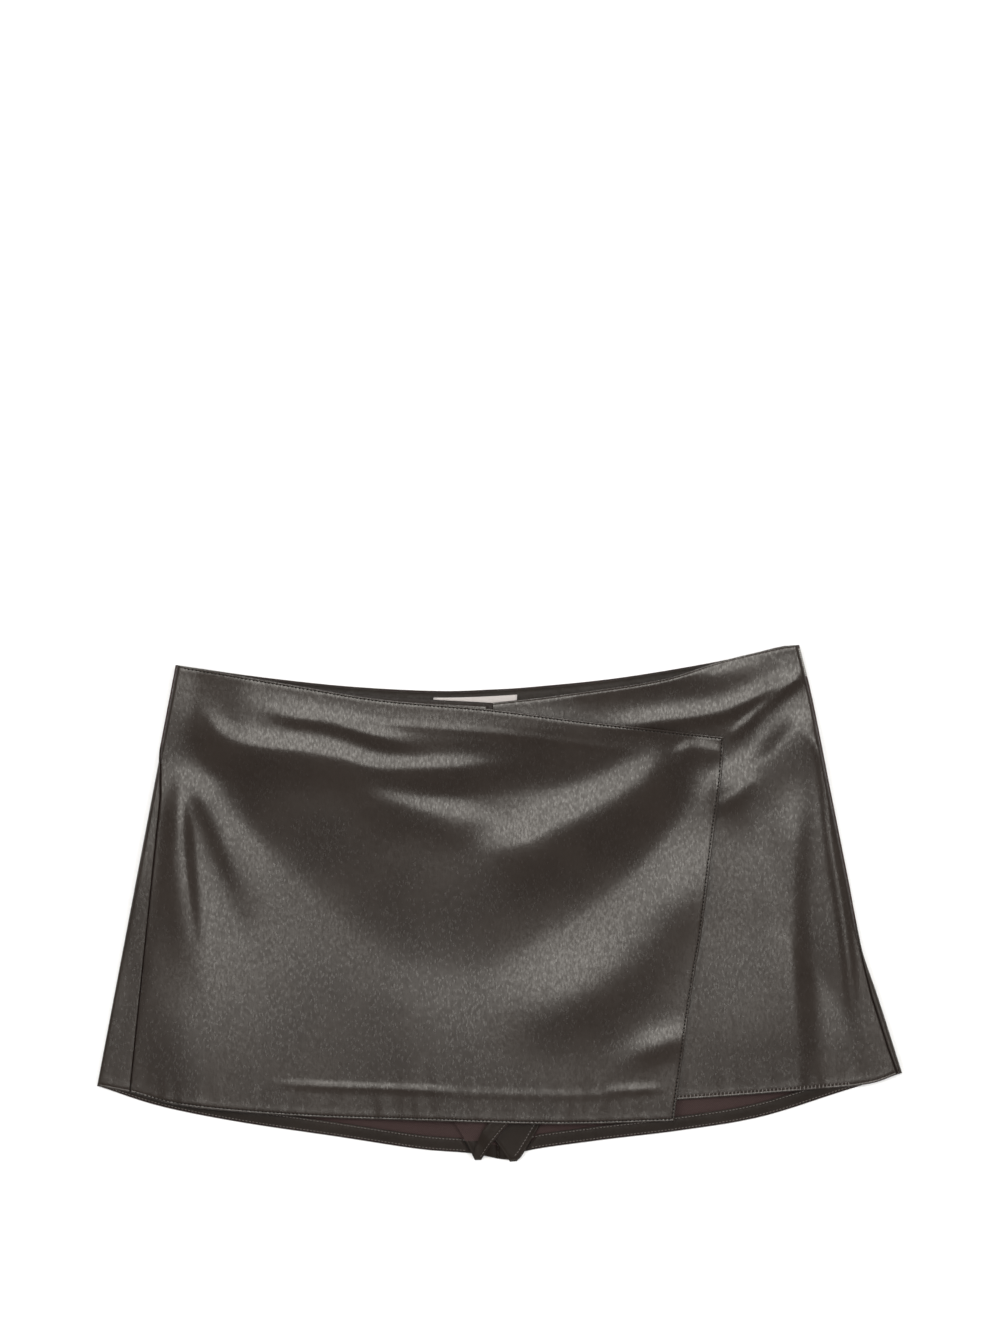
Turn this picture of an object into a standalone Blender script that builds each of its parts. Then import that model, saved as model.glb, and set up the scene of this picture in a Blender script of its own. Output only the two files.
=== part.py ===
"""A wrap skort laid flat on a table: shorts of two fronts and two backs, under one wide wrap panel.

Lengths are in millimetres until a mesh is made. +X is the viewer's right, +Y the waist and +Z up from
the table. The two backs lie on the table, and their side edges roll over to the upper side as far as
the side seams. The fronts lie on the backs, and the wrap panel on the fronts. A panel's height is the
height of its upper face, and its wall hangs one cloth thickness below it.
"""

from collections import namedtuple
from math import pi

import bmesh
import bpy
import numpy as np

MM = 0.001

# Cloth and the way it is stacked.
WALL = 1.0
SEAM_GAP = 0.3
SIDE_SEAM_GAP = 0.5
LYING_GAP = 0.3
PANEL_EASE = 0.55
BACK_TOP = WALL
FRONT_TOP = BACK_TOP + LYING_GAP + WALL + 0.1
WRAP_ABOVE_FRONT = WALL + PANEL_EASE
BAND_RISE = WALL + LYING_GAP

# Outline of the two sides, waist end last. The left one is straight.
LEFT_FOLD = ((-269.7, -122.5), (-216.1, 159.6))
RIGHT_FOLD = (
    (269.7, -113.6), (254.3, -65.0), (240.9, -24.7), (232.8, 15.5),
    (220.8, 75.8), (208.7, 136.8), (199.8, 173.0),
)
LEFT_ROLL = 1.95
RIGHT_ROLL = 1.9

# Edges that run across the garment, from left to right.
BACK_WAIST = (
    (-216.1, 159.6), (-160.5, 151.6), (-100.0, 145.2), (-40.0, 142.2), (20.0, 144.8),
    (80.0, 151.0), (147.7, 162.3), (187.9, 171.9), (199.8, 173.0),
)
FRONT_WAIST = (
    (-211.0, 157.0), (-142.4, 146.4), (-80.1, 138.8), (-10.0, 134.2), (40.5, 139.6),
    (106.7, 149.6), (147.7, 162.0), (187.9, 171.5), (199.8, 172.8),
)
WRAP_WAIST = (
    (-216.1, 159.6), (-133.7, 145.5), (-80.1, 136.8), (-5.7, 130.1), (63.3, 121.4), (150.4, 111.4),
)
WRAP_HEM = (
    (-246.9, -127.8), (-208.7, -136.2), (-131.7, -142.9), (-46.6, -145.9), (40.5, -148.1), (116.9, -146.1),
)
FRONT_LEFT_HEM = ((-243.0, -117.0), (-150.0, -129.0), (-60.0, -133.5), (-5.0, -135.5))
FRONT_RIGHT_HEM = (
    (-5.0, -135.5), (60.0, -134.5), (120.9, -131.7), (207.4, -125.1), (246.2, -121.2), (269.7, -113.6),
)
BACK_LEFT_HEM = (
    (-269.7, -122.5), (-227.5, -135.9), (-173.9, -146.6), (-106.9, -156.6), (-53.3, -164.7),
    (-19.8, -167.4), (-1.0, -171.2),
)
BACK_RIGHT_HEM = (
    (-1.0, -171.2), (7.0, -172.6), (17.1, -166.0), (67.3, -158.7), (120.9, -152.2),
    (174.5, -143.2), (228.1, -126.5), (269.7, -113.6),
)
WRAP_FREE_EDGE = (
    (116.9, -146.1), (127.6, -66.9), (135.7, -17.3), (141.7, 31.6), (149.1, 89.9), (150.4, 111.4),
)
CENTRE_BACK = -1.0
CENTRE_FRONT = -5.0
# The left front's side edge: its stretch along the side and how far it stays clear of the roll or seam.
FRONT_LEFT_SIDE = (0.05, 0.985)
FRONT_LEFT_CLEAR = 1.2

# Rows of each panel from hem to waist. The panels above have twice the back's, so their seams agree.
BACK_ROWS = 16
TOP_ROWS = 2 * BACK_ROWS

# How far the back comes over the side fold, measured along the cloth from the outermost line.
SeamReach = namedtuple("SeamReach", "row_of_back girth")
LEFT_SEAM = (SeamReach(0, 23.7), SeamReach(1, 22.1), SeamReach(11, 6.9), SeamReach(13, 0.0), SeamReach(16, 0.0))
RIGHT_SEAM = (
    SeamReach(0, 4.3), SeamReach(1, 5.1), SeamReach(3, 5.1), SeamReach(4, 3.3), SeamReach(6, 0.0), SeamReach(16, 0.0),
)

# Trim.
HEM_BAND = 9.5
BAND_INSET = 0.6
LEFT_BAND_ENDS = ((-263.0, -19.5), (-262.0, -26.0))
RIGHT_BAND_ENDS = ((18.2, 226.0), (25.2, 224.0))
FACING_DEPTH = 22.0
FACING_ENDS = (-188.0, 146.0)
LABEL_ENDS = (-44.3, 11.7)
LABEL_DEPTHS = (4.4, 20.0)
ZIP_LENGTH = 150.0
ZIP_WIDTH = 9.0
ZIP_INWARD = 2.7
ZIP_TOP = 0.99

# The inner corners of the two legs, which cross under the wrap's hem: each side runs from tip to top.
Corner = namedtuple("Corner", "left_side right_side")
LEFT_CORNER = Corner(
    ((-16.6, -172.0), (-24.5, -156.5), (-36.0, -138.4)),
    ((-12.4, -172.0), (-2.1, -157.3), (15.0, -138.4)),
)
RIGHT_CORNER = Corner(
    ((7.0, -173.2), (-1.0, -161.8), (-20.0, -138.4)),
    ((11.6, -172.8), (16.8, -166.3), (33.0, -138.4)),
)
# The left corner's turned hem: how far up it reaches, and the shares of the width where it starts, at
# three heights, and ends.
CORNER_BAND_UP = 0.97
CORNER_BAND_STARTS = ((0, 0.35, 1), (0.04, 0.42, 0.72))
CORNER_BAND_END = 0.985
CORNER_RAMP = 10.0
CORNER_RAMP_LEAD = 3.0
CORNER_BAND_RISE = WALL + 0.45

# Lifts of a panel where it lies on something: the height, the stretch that it covers and the fades past
# its ends.
WAIST_LIFT = 1.35
WAIST_LIFT_DEPTH = 27.0
WAIST_FADES = (60.0, 45.0)
LABEL_LIFT = 1.4
LABEL_MARGIN = 3.0
LABEL_FADES = (80.0, 50.0)
SIDE_LIFT = 2 * RIGHT_ROLL - FRONT_TOP
SIDE_LIFT_DEPTH = 15.0
SIDE_FADE = 26.0
HEM_LIFT = 1.25
HEM_LIFT_FROM = (188.0, -98.0)
HEM_FADE = 90.0
CORNER_LIFT = 2.4
CORNER_LIFT_ENDS = (-30.0, 27.0)
CORNER_LIFT_TOP = -136.0
CORNER_FADE = 150.0
LEFT_SIDE_FADE = 22.0
MOST_RELIEF = 5.5

# Folds: a crest's route from left to right or from the waist down, its height, the width of its slope
# on the left and on the right of the route, and the shares of its length over which its ends fade.
Fold = namedtuple("Fold", "name route height left_width right_width start end")
WRAP_FOLDS = (
    Fold("upper drape", (
        (-205, 136), (-197, 122), (-184, 110), (-159, 104), (-133, 101), (-107, 96), (-80, 89), (-40, 89), (0, 91), (27, 93),
    ), 1.5, 8.0, 17.0, 0.15, 0.3),
    Fold("inner drape", ((-165, 133), (-140, 125), (-114, 121), (-80, 111), (-47, 104)), 0.7, 6.0, 5.0, 0.3, 0.3),
    Fold("middle left drape", ((-107, 79), (-80, 69), (-40, 59), (0, 50)), 1.0, 9.0, 16.0, 0.35, 0.3),
    Fold("middle right drape", (
        (-14, 33), (14, 38), (40, 52), (67, 65), (94, 82), (111, 92), (128, 99), (142, 106),
    ), 1.5, 13.0, 20.0, 0.2, 0.35),
    Fold("low right drape", (
        (-20, -78), (0, -75), (40, -67), (81, -43), (107.5, -12.6), (127.6, 12), (139.7, 35.6), (144.4, 59),
    ), 1.5, 26.0, 24.0, 0.35, 0.3),
    Fold("outer left ridge", ((-222, 101), (-215, 69), (-212, 22), (-206, -31), (-199, -72)), 1.8, 7.0, 14.0, 0.3, 0.5),
    Fold("lower left slope", ((-196, -10), (-192, -70), (-186, -130), (-184, -170)), 1.3, 60.0, 26.0, 0.4, 0.1),
    Fold("inner left ridge", ((-219, 101), (-204, 79), (-184, 42), (-159, -25)), 1.2, 14.0, 9.0, 0.3, 0.5),
    Fold("corner roll", ((80, -108), (100, -98), (120, -90), (132, -86)), 0.8, 9.0, 9.0, 0.5, 0.4),
)
FRONT_FOLDS = (
    Fold("long right fold", (
        (201, 121), (197, 96), (194.6, 69), (192.6, 35.6), (191.3, 2), (194.6, -65), (198, -118), (200, -160),
    ), 1.8, 14.0, 42.0, 0.6, 0.1),
    Fold("right fall", (
        (203, 121), (199, 96), (196, 69), (194, 36), (193, 2), (196, -65), (199, -118), (201, -160),
    ), 1.2, 12.0, 20.0, 0.12, 0.1),
    Fold("edge ridge", (
        (208, 117.4), (212.7, 105), (215.4, 94.6), (218.8, 69.8), (221.4, 42.3), (228, 2), (233.5, -38), (238.9, -98),
    ), 0.8, 4.0, 3.5, 0.1, 0.3),
    Fold("upper corner fold", (
        (60, 121), (107.5, 123), (123, 124.5), (138, 127.5), (154, 131), (170, 137), (186, 145.5), (199, 153),
    ), 0.6, 4.5, 4.5, 0.3, 0.08),
    Fold("middle corner fold", (
        (156.5, 114), (165, 121), (174, 129.5), (184.6, 138), (193.5, 146), (199, 152),
    ), 0.55, 3.2, 4.0, 0.2, 0.1),
    Fold("lower corner fold", (
        (142, 72), (152, 79.5), (167, 89), (181, 99), (192, 109), (203, 118), (212, 124),
    ), 1.7, 7.0, 20.0, 0.3, 0.1),
    Fold("waist roll", ((60, 137), (107, 145), (148, 157), (180, 166)), 0.9, 5.0, 12.0, 0.3, 0.2),
)
# The wrap's cloth falls in one broad bowl from this edge to its foot, between these ends.
BOWL_EDGE = (
    (-200.7, 121.4), (-184, 108), (-159, 101), (-133.7, 98.6), (-107, 90.6), (-80, 75.8), (-40, 57), (0, 41),
    (40.5, 53), (67, 65), (94, 81), (114, 92), (134, 102.6), (142, 108),
)
BOWL_FOOT = (
    (-200, 72), (-165, 42), (-134, 12), (-87, -30), (-40, -50), (0, -45), (40, -21), (81, 9), (108, 36), (142, 78),
)
BOWL_RISE = 2.8
BOWL_ENDS = (-160.0, 90.0)
BOWL_FADE = 50.0
FRONT_FOLDS_REACH_UNDER_WRAP = 25.0

CURVE_STEPS = 12
CREST_POINTS = 48
CREST_BLEND = 12.0
CREST_ROUNDING = 6.0
# Shares of a fine stretch, closest together at the cut edge, which keeps the edge square to the cloth.
FINE_STEPS = np.array((0.0, 0.06, 0.35, 0.68))
ROLL_STEPS = (0.24, 0.48, 0.72, 0.95)

Finish = namedtuple("Finish", "colour metallic roughness")
LEATHER = Finish((0.055, 0.044, 0.038), 0.0, 0.4)
CLOTH_BACKING = Finish((0.16, 0.11, 0.10), 0.0, 0.9)
LABEL_CLOTH = Finish((0.80, 0.74, 0.71), 0.0, 0.8)
ZIP_TAPE = Finish((0.05, 0.045, 0.045), 0.3, 0.6)


# Curves and heights.


def along(points, shares):
    """Places at these shares of the length of a smooth curve through the points."""
    knots = np.array(points, float)
    if len(knots) == 2:
        return knots[0] + np.outer(shares, knots[1] - knots[0])
    knots = np.vstack([2 * knots[0] - knots[1], knots, 2 * knots[-1] - knots[-2]])
    steps = np.linspace(0, 1, CURVE_STEPS, endpoint=False)[:, None]
    runs = [
        0.5 * (2 * b + (c - a) * steps + (2 * a - 5 * b + 4 * c - d) * steps**2 + (3 * b - 3 * c + d - a) * steps**3)
        for a, b, c, d in zip(knots, knots[1:], knots[2:], knots[3:])
    ]
    dense = np.vstack([*runs, knots[-2:-1]])
    lengths = np.concatenate([[0], np.cumsum(np.hypot(*np.diff(dense, axis=0).T))])
    wanted = np.asarray(shares) * lengths[-1]
    return np.stack([np.interp(wanted, lengths, dense[:, axis]) for axis in (0, 1)], axis=-1)


def y_on(edge, x):
    """Where an edge that runs left to right passes x."""
    line = along(edge, np.linspace(0, 1, 60))
    return np.interp(x, line[:, 0], line[:, 1])


def x_on(edge, y):
    """Where an edge that runs from hem to waist passes y."""
    line = along(edge, np.linspace(0, 1, 60))
    return np.interp(y, line[:, 1], line[:, 0])


def fade(value):
    """A smooth step from 0 to 1 as the value goes from 0 to 1."""
    value = np.clip(value, 0.0, 1.0)
    return value * value * (3 - 2 * value)


def plateau(value, low, high, edge):
    """1 between low and high, falling smoothly to 0 over the edge width outside them."""
    return fade((value - low) / edge + 1) * fade((high - value) / edge + 1)


def ridge(fold, x, y):
    """Height that one fold adds at these places."""
    crest = along(fold.route, np.linspace(0, 1, CREST_POINTS))
    place = np.stack([np.ravel(x), np.ravel(y)], axis=1)
    starts, runs = crest[:-1], np.diff(crest, axis=0)
    offsets = place[:, None, :] - starts
    shares = np.clip((offsets * runs).sum(2) / (runs * runs).sum(1), 0, 1)
    away = offsets - shares[:, :, None] * runs
    distance = np.sqrt((away**2).sum(2).min(1))
    # Near a bend or an end, the side and the share come from all the crest points that are about as near.
    offsets = place[:, None, :] - crest
    squares = (offsets**2).sum(2)
    weight = np.exp((squares.min(1, keepdims=True) - squares) / CREST_BLEND**2)
    weight /= weight.sum(1, keepdims=True)
    runs = np.gradient(crest, axis=0)
    runs /= np.hypot(runs[:, 0], runs[:, 1])[:, None]
    leftward = (weight * (runs[:, 0] * offsets[:, :, 1] - runs[:, 1] * offsets[:, :, 0])).sum(1)
    width = fold.right_width + (fold.left_width - fold.right_width) * fade(0.5 + leftward / CREST_ROUNDING)
    share = weight @ np.linspace(0, 1, CREST_POINTS)
    ends = fade(share / fold.start) * fade((1 - share) / fold.end)
    return (fold.height * np.exp(-((distance / width) ** 2)) * ends).reshape(np.shape(x))


def relief(folds, x, y):
    """Height of all these folds together, held under the most that the cloth above may rise."""
    total = sum(ridge(fold, x, y) for fold in folds)
    return MOST_RELIEF * np.tanh(total / MOST_RELIEF)


def highest(*lifts):
    """A smooth maximum of lifts that are all 0 or more."""
    return sum(lift**6 for lift in lifts) ** (1 / 6)


# The side folds.


class Side:
    """One side of the garment: its outermost line, the cloth rolled round it and its seam."""

    def __init__(self, line, roll, seam, inward_sign):
        self.line, self.roll, self.seam, self.inward_sign = line, roll, seam, inward_sign
        self.quarter = roll * pi / 2
        self.slack = self.quarter - roll

    def at(self, shares):
        """Points on the outermost line and the unit directions that lead inward from them."""
        shares = np.asarray(shares, float)
        points = along(self.line, shares)
        run = along(self.line, np.clip(shares + 0.02, 0, 1)) - along(self.line, np.clip(shares - 0.02, 0, 1))
        run /= np.hypot(run[:, 0], run[:, 1])[:, None]
        return points, np.stack([run[:, 1], -run[:, 0]], axis=1) * self.inward_sign

    def girth_of_seam(self, shares):
        """Where the side seam lies, as a girth from the outermost line."""
        rows = np.asarray(shares) * BACK_ROWS
        return np.interp(rows, [reach.row_of_back for reach in self.seam], [reach.girth for reach in self.seam])

    def wrapped(self, shares, girths):
        """Points (x, y, z) of the outer face at these girths: above 0 on the upper side, below 0 under it."""
        points, inward = self.at(shares)
        turn = np.clip(girths / self.roll, -pi / 2, pi / 2)
        distance = self.roll * (1 - np.cos(turn)) + np.maximum(np.abs(girths) - self.quarter, 0)
        height = self.roll * (1 + np.sin(turn))
        return np.column_stack([points + inward * distance[:, None], height])

    def seam_edge(self, shares, offset):
        """The flat pattern's edge this far past the seam."""
        points, inward = self.at(shares)
        return points + inward * (self.girth_of_seam(shares) + offset - self.slack)[:, None]

    def inward(self, x, y):
        """How far these places lie inward of the outermost line."""
        line = along(self.line, np.linspace(0, 1, 25))
        edge = np.interp(y, line[:, 1], line[:, 0])
        slope = (line[-1, 0] - line[0, 0]) / (line[-1, 1] - line[0, 1])
        return self.inward_sign * (x - edge) / np.hypot(1, slope)

    def roll_down(self, x, y, z):
        """Bends the part of a flat pattern that lies past the quarter turn down round the fold."""
        distance = self.inward(x, y)
        turn = np.clip((distance + self.slack) / self.roll, 0, pi / 2)
        past = distance < self.roll
        moved = np.where(past, self.roll * (1 - np.cos(turn)) - distance, 0)
        drop = np.where(past, self.roll * (1 - np.sin(turn)), 0)
        return x + self.inward_sign * moved, y, z - drop


LEFT = Side(LEFT_FOLD, LEFT_ROLL, LEFT_SEAM, 1)
RIGHT = Side(RIGHT_FOLD, RIGHT_ROLL, RIGHT_SEAM, -1)


def base_height(x, y):
    """The upper face of the shorts' front without its folds."""
    depth = y_on(BACK_WAIST, x) - y
    over_waist = plateau(x, *FACING_ENDS, WAIST_FADES[0]) * fade((WAIST_LIFT_DEPTH - depth) / WAIST_FADES[1] + 1)
    over_label = plateau(x, LABEL_ENDS[0] - LABEL_MARGIN, LABEL_ENDS[1] + LABEL_MARGIN, LABEL_FADES[0])
    over_label = over_label * fade((LABEL_DEPTHS[1] + LABEL_MARGIN - depth) / LABEL_FADES[1] + 1)
    at_side = fade((SIDE_LIFT_DEPTH - RIGHT.inward(x, y)) / SIDE_FADE + 1)
    at_hem = fade((x - HEM_LIFT_FROM[0]) / HEM_FADE + 1) * fade((HEM_LIFT_FROM[1] - y) / HEM_FADE + 1)
    lifts = highest(WAIST_LIFT * over_waist, SIDE_LIFT * at_side, HEM_LIFT * at_hem)
    return FRONT_TOP + lifts + LABEL_LIFT * over_label


def front_height(x, y):
    """The upper face of the shorts' front."""
    shown = fade((x - x_on(WRAP_FREE_EDGE, y)) / FRONT_FOLDS_REACH_UNDER_WRAP + 1)
    above_wrap = fade((y - y_on(WRAP_WAIST, x)) / FRONT_FOLDS_REACH_UNDER_WRAP + 1)
    return base_height(x, y) + relief(FRONT_FOLDS, x, y) * np.maximum(shown, above_wrap)


def wrap_height(x, y):
    """The upper face of the wrap panel."""
    over_corners = plateau(x, *CORNER_LIFT_ENDS, CORNER_FADE) * fade((CORNER_LIFT_TOP - y) / CORNER_FADE + 1)
    bowl = fade((y - y_on(BOWL_FOOT, x)) / (y_on(BOWL_EDGE, x) - y_on(BOWL_FOOT, x)))
    folds = relief(WRAP_FOLDS, x, y) + BOWL_RISE * bowl * plateau(x, *BOWL_ENDS, BOWL_FADE)
    folds = folds * fade(LEFT.inward(x, y) / LEFT_SIDE_FADE)
    return front_height(x, y) + WRAP_ABOVE_FRONT + CORNER_LIFT * over_corners + folds


# Meshes.


def clear_scene():
    """Empties the scene of objects."""
    for obj in list(bpy.data.objects):
        bpy.data.objects.remove(obj, do_unlink=True)


def make_material(name, finish):
    """A plain material in one colour."""
    material = bpy.data.materials.new(name)
    material.use_nodes = True
    shader = material.node_tree.nodes["Principled BSDF"]
    shader.inputs["Base Color"].default_value = (*finish.colour, 1.0)
    shader.inputs["Metallic"].default_value = finish.metallic
    shader.inputs["Roughness"].default_value = finish.roughness
    return material


def make_wall(name, grid, material, collection):
    """A cloth wall hung below a grid of upper-face points, given as rows of (x, y, z)."""
    rows, columns = grid.shape[:2]
    mesh = bpy.data.meshes.new(name)
    shape = bmesh.new()
    bmesh.ops.create_grid(shape, x_segments=columns - 1, y_segments=rows - 1, size=0.5)
    for vertex, place in zip(shape.verts, grid.reshape(-1, 3)):
        vertex.co = place * MM
    shape.to_mesh(mesh)
    shape.free()
    mesh.shade_smooth()
    mesh.materials.append(material)
    piece = bpy.data.objects.new(name, mesh)
    collection.objects.link(piece)
    wall = piece.modifiers.new("Cloth wall", "SOLIDIFY")
    wall.thickness = WALL * MM
    wall.offset = -1.0
    return piece


def shares_of(count, fine_at_start=0.0, fine_at_end=0.0):
    """Even shares from 0 to 1, with four closer ones over a short stretch at one end."""
    start = fine_at_start * FINE_STEPS if fine_at_start else np.array([])
    end = 1 - fine_at_end * FINE_STEPS[::-1] if fine_at_end else np.array([])
    return np.concatenate([start, np.linspace(fine_at_start, 1 - fine_at_end, count + 1), end])


def patch(bottom, top, left, right, across, up):
    """Points of a panel between four edge curves, at these shares across and up."""
    low, high = along(bottom, across)[None], along(top, across)[None]
    first, last = left[:, None], right[:, None]
    u, v = across[None, :, None], up[:, None, None]
    corners = (1 - u) * (1 - v) * low[:, :1] + u * (1 - v) * low[:, -1:]
    corners = corners + (1 - u) * v * high[:, :1] + u * v * high[:, -1:]
    return (1 - v) * low + v * high + (1 - u) * first + u * last - corners


def lift_to(flat, height):
    """Adds a height to each point of a flat grid."""
    return np.dstack([flat, height(flat[:, :, 0], flat[:, :, 1])])


def flat_at(height):
    """A height that is the same everywhere."""
    return lambda x, y: np.full(np.shape(x), height)


# The pieces.


def back_panel(side, hem, waist, centre_last):
    """One back: flat on the table, rolled round its side and on as far as the side seam."""
    up = shares_of(BACK_ROWS)
    across = shares_of(6)
    starts = side.wrapped(up, np.full(len(up), -side.quarter))[:, :2]
    centre_end, side_end = (-1, 0) if centre_last else (0, -1)
    hem, waist = list(hem), list(waist)
    centre = hem[centre_end] + np.outer(up, np.subtract(waist[centre_end], hem[centre_end]))
    hem[side_end], waist[side_end] = tuple(starts[0]), tuple(starts[-1])
    left, right = (starts, centre) if centre_last else (centre, starts)
    sheet = lift_to(patch(hem, waist, left, right, across, up), flat_at(0.0))
    seam = side.girth_of_seam(up) - SIDE_SEAM_GAP / 2
    bend = np.minimum(seam, side.quarter) + side.quarter
    girths = [share * bend - side.quarter for share in ROLL_STEPS]
    girths += [(girths[-1] + seam) / 2, seam]
    rolled = np.stack([side.wrapped(up, girth) for girth in girths], axis=1)
    if centre_last:
        return np.concatenate([sheet[:, ::-1], rolled], axis=1)
    return np.concatenate([rolled[:, ::-1], sheet[:, ::-1]], axis=1)


def split(edge, x):
    """The two halves of an edge, cut at this x."""
    dense = along(edge, np.linspace(0, 1, 200))
    place = (x, float(np.interp(x, dense[:, 0], dense[:, 1])))
    left = [point for point in edge if point[0] < x - 8]
    right = [point for point in edge if point[0] > x + 8]
    return [*left, place], [place, *right]


def front_panel(hem, waist, left, right, across, up):
    """One front of the shorts."""
    grid = lift_to(patch(hem, waist, left, right, across, up), front_height)
    return np.dstack(RIGHT.roll_down(*np.moveaxis(grid, 2, 0)))


def front_left_panel():
    """The front under the wrap."""
    up = shares_of(18)
    waist, _ = split(FRONT_WAIST, CENTRE_FRONT - SEAM_GAP / 2)
    hem = list(FRONT_LEFT_HEM)
    hem[-1] = (CENTRE_FRONT - SEAM_GAP / 2, hem[-1][1])
    height_on_side = FRONT_LEFT_SIDE[0] + (FRONT_LEFT_SIDE[1] - FRONT_LEFT_SIDE[0]) * up
    points, inward = LEFT.at(height_on_side)
    reach = np.maximum(LEFT.girth_of_seam(height_on_side) - LEFT.slack, LEFT.roll) + FRONT_LEFT_CLEAR
    left = points + inward * reach[:, None]
    hem[0], waist[0] = tuple(left[0]), tuple(left[-1])
    right = np.linspace(hem[-1], waist[-1], len(up))
    return front_panel(hem, waist, left, right, shares_of(20), up)


def front_right_panel():
    """The front that shows beside the wrap, with its edge rolled round the right side."""
    up = shares_of(TOP_ROWS)
    _, waist = split(FRONT_WAIST, CENTRE_FRONT + SEAM_GAP / 2)
    hem = list(FRONT_RIGHT_HEM)
    hem[0] = (CENTRE_FRONT + SEAM_GAP / 2, hem[0][1])
    right = RIGHT.seam_edge(up, SIDE_SEAM_GAP / 2)
    hem[-1], waist[-1] = tuple(right[0]), tuple(right[-1])
    left = np.linspace(hem[0], waist[0], len(up))
    return front_panel(hem, waist, left, right, shares_of(24, fine_at_end=0.014), up)


def wrap_panel():
    """The wrap panel, sewn into the left side seam and free along its right edge."""
    up = shares_of(TOP_ROWS)
    left = LEFT.seam_edge(up, SIDE_SEAM_GAP / 2)
    right = along(WRAP_FREE_EDGE, up)
    hem, waist = list(WRAP_HEM), list(WRAP_WAIST)
    hem[0], waist[0] = tuple(left[0]), tuple(left[-1])
    across = shares_of(42, fine_at_start=0.011)
    grid = lift_to(patch(hem, waist, left, right, across, up), wrap_height)
    return np.dstack(LEFT.roll_down(*np.moveaxis(grid, 2, 0)))


def strip_along(edge, rows, count, height):
    """A strip beside an edge. Each row gives an offset to the edge's left and the strip's two ends there."""
    line = along(edge, np.linspace(0, 1, 240))
    run = np.gradient(line, axis=0)
    run /= np.hypot(run[:, 0], run[:, 1])[:, None]
    sideways = np.stack([-run[:, 1], run[:, 0]], axis=1)
    grid = []
    for offset, first_x, last_x in rows:
        moved = line + sideways * offset
        x = np.linspace(first_x, last_x, count + 1)
        grid.append(np.column_stack([x, np.interp(x, moved[:, 0], moved[:, 1])]))
    return lift_to(np.stack(grid), flat_at(height))


def hem_band(hem, outer_ends, inner_ends):
    """The turned hem that lies on the inside of a back."""
    rows = ((BAND_INSET, *outer_ends), (HEM_BAND, *inner_ends))
    return strip_along(hem, rows, 18, BACK_TOP + BAND_RISE)


def facing():
    """The waist facing on the inside of the backs."""
    rows = ((-FACING_DEPTH, *FACING_ENDS), (-BAND_INSET, *FACING_ENDS))
    return strip_along(BACK_WAIST, rows, 22, BACK_TOP + BAND_RISE)


def label():
    """The bare label sewn under the middle of the back waist."""
    rows = [(-depth, *LABEL_ENDS) for depth in LABEL_DEPTHS[::-1]]
    return strip_along(BACK_WAIST, rows, 5, BACK_TOP + 2 * BAND_RISE)


def side_zip():
    """The closed zip's tape inside the right side seam, from the waist down."""
    side_length = np.hypot(*np.subtract(RIGHT_FOLD[-1], RIGHT_FOLD[0]))
    points, inward = RIGHT.at(np.linspace(1 - ZIP_LENGTH / side_length, ZIP_TOP, 9))
    grid = np.stack([points + inward * (ZIP_INWARD + ZIP_WIDTH), points + inward * ZIP_INWARD], axis=1)
    return lift_to(grid, flat_at(BACK_TOP + BAND_RISE))


def corner_patch(corner, across, up, height):
    """The inner corner of one leg."""
    left, right = along(corner.left_side, up), along(corner.right_side, up)
    u = across[None, :, None]
    return lift_to((1 - u) * left[:, None] + u * right[:, None], height)


def left_corner_height(x, y):
    """The left corner lies on the back, and climbs on to the right corner where they cross."""
    edge = along(RIGHT_CORNER.left_side, np.linspace(0, 1, 9))
    start = np.interp(y, edge[:, 1], edge[:, 0]) - CORNER_RAMP - CORNER_RAMP_LEAD
    return BACK_TOP + BAND_RISE * (1 + fade((x - start) / CORNER_RAMP))


def left_corner_band():
    """The turned hem on the left corner, along its right side."""
    up, across = shares_of(6), shares_of(3)
    left, right = along(LEFT_CORNER.left_side, up * CORNER_BAND_UP), along(LEFT_CORNER.right_side, up * CORNER_BAND_UP)
    inner = left + (right - left) * np.interp(up, *CORNER_BAND_STARTS)[:, None]
    outer = left + (right - left) * CORNER_BAND_END
    u = across[None, :, None]
    flat = (1 - u) * inner[:, None] + u * outer[:, None]
    return lift_to(flat, lambda x, y: left_corner_height(x, y) + CORNER_BAND_RISE)


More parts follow.
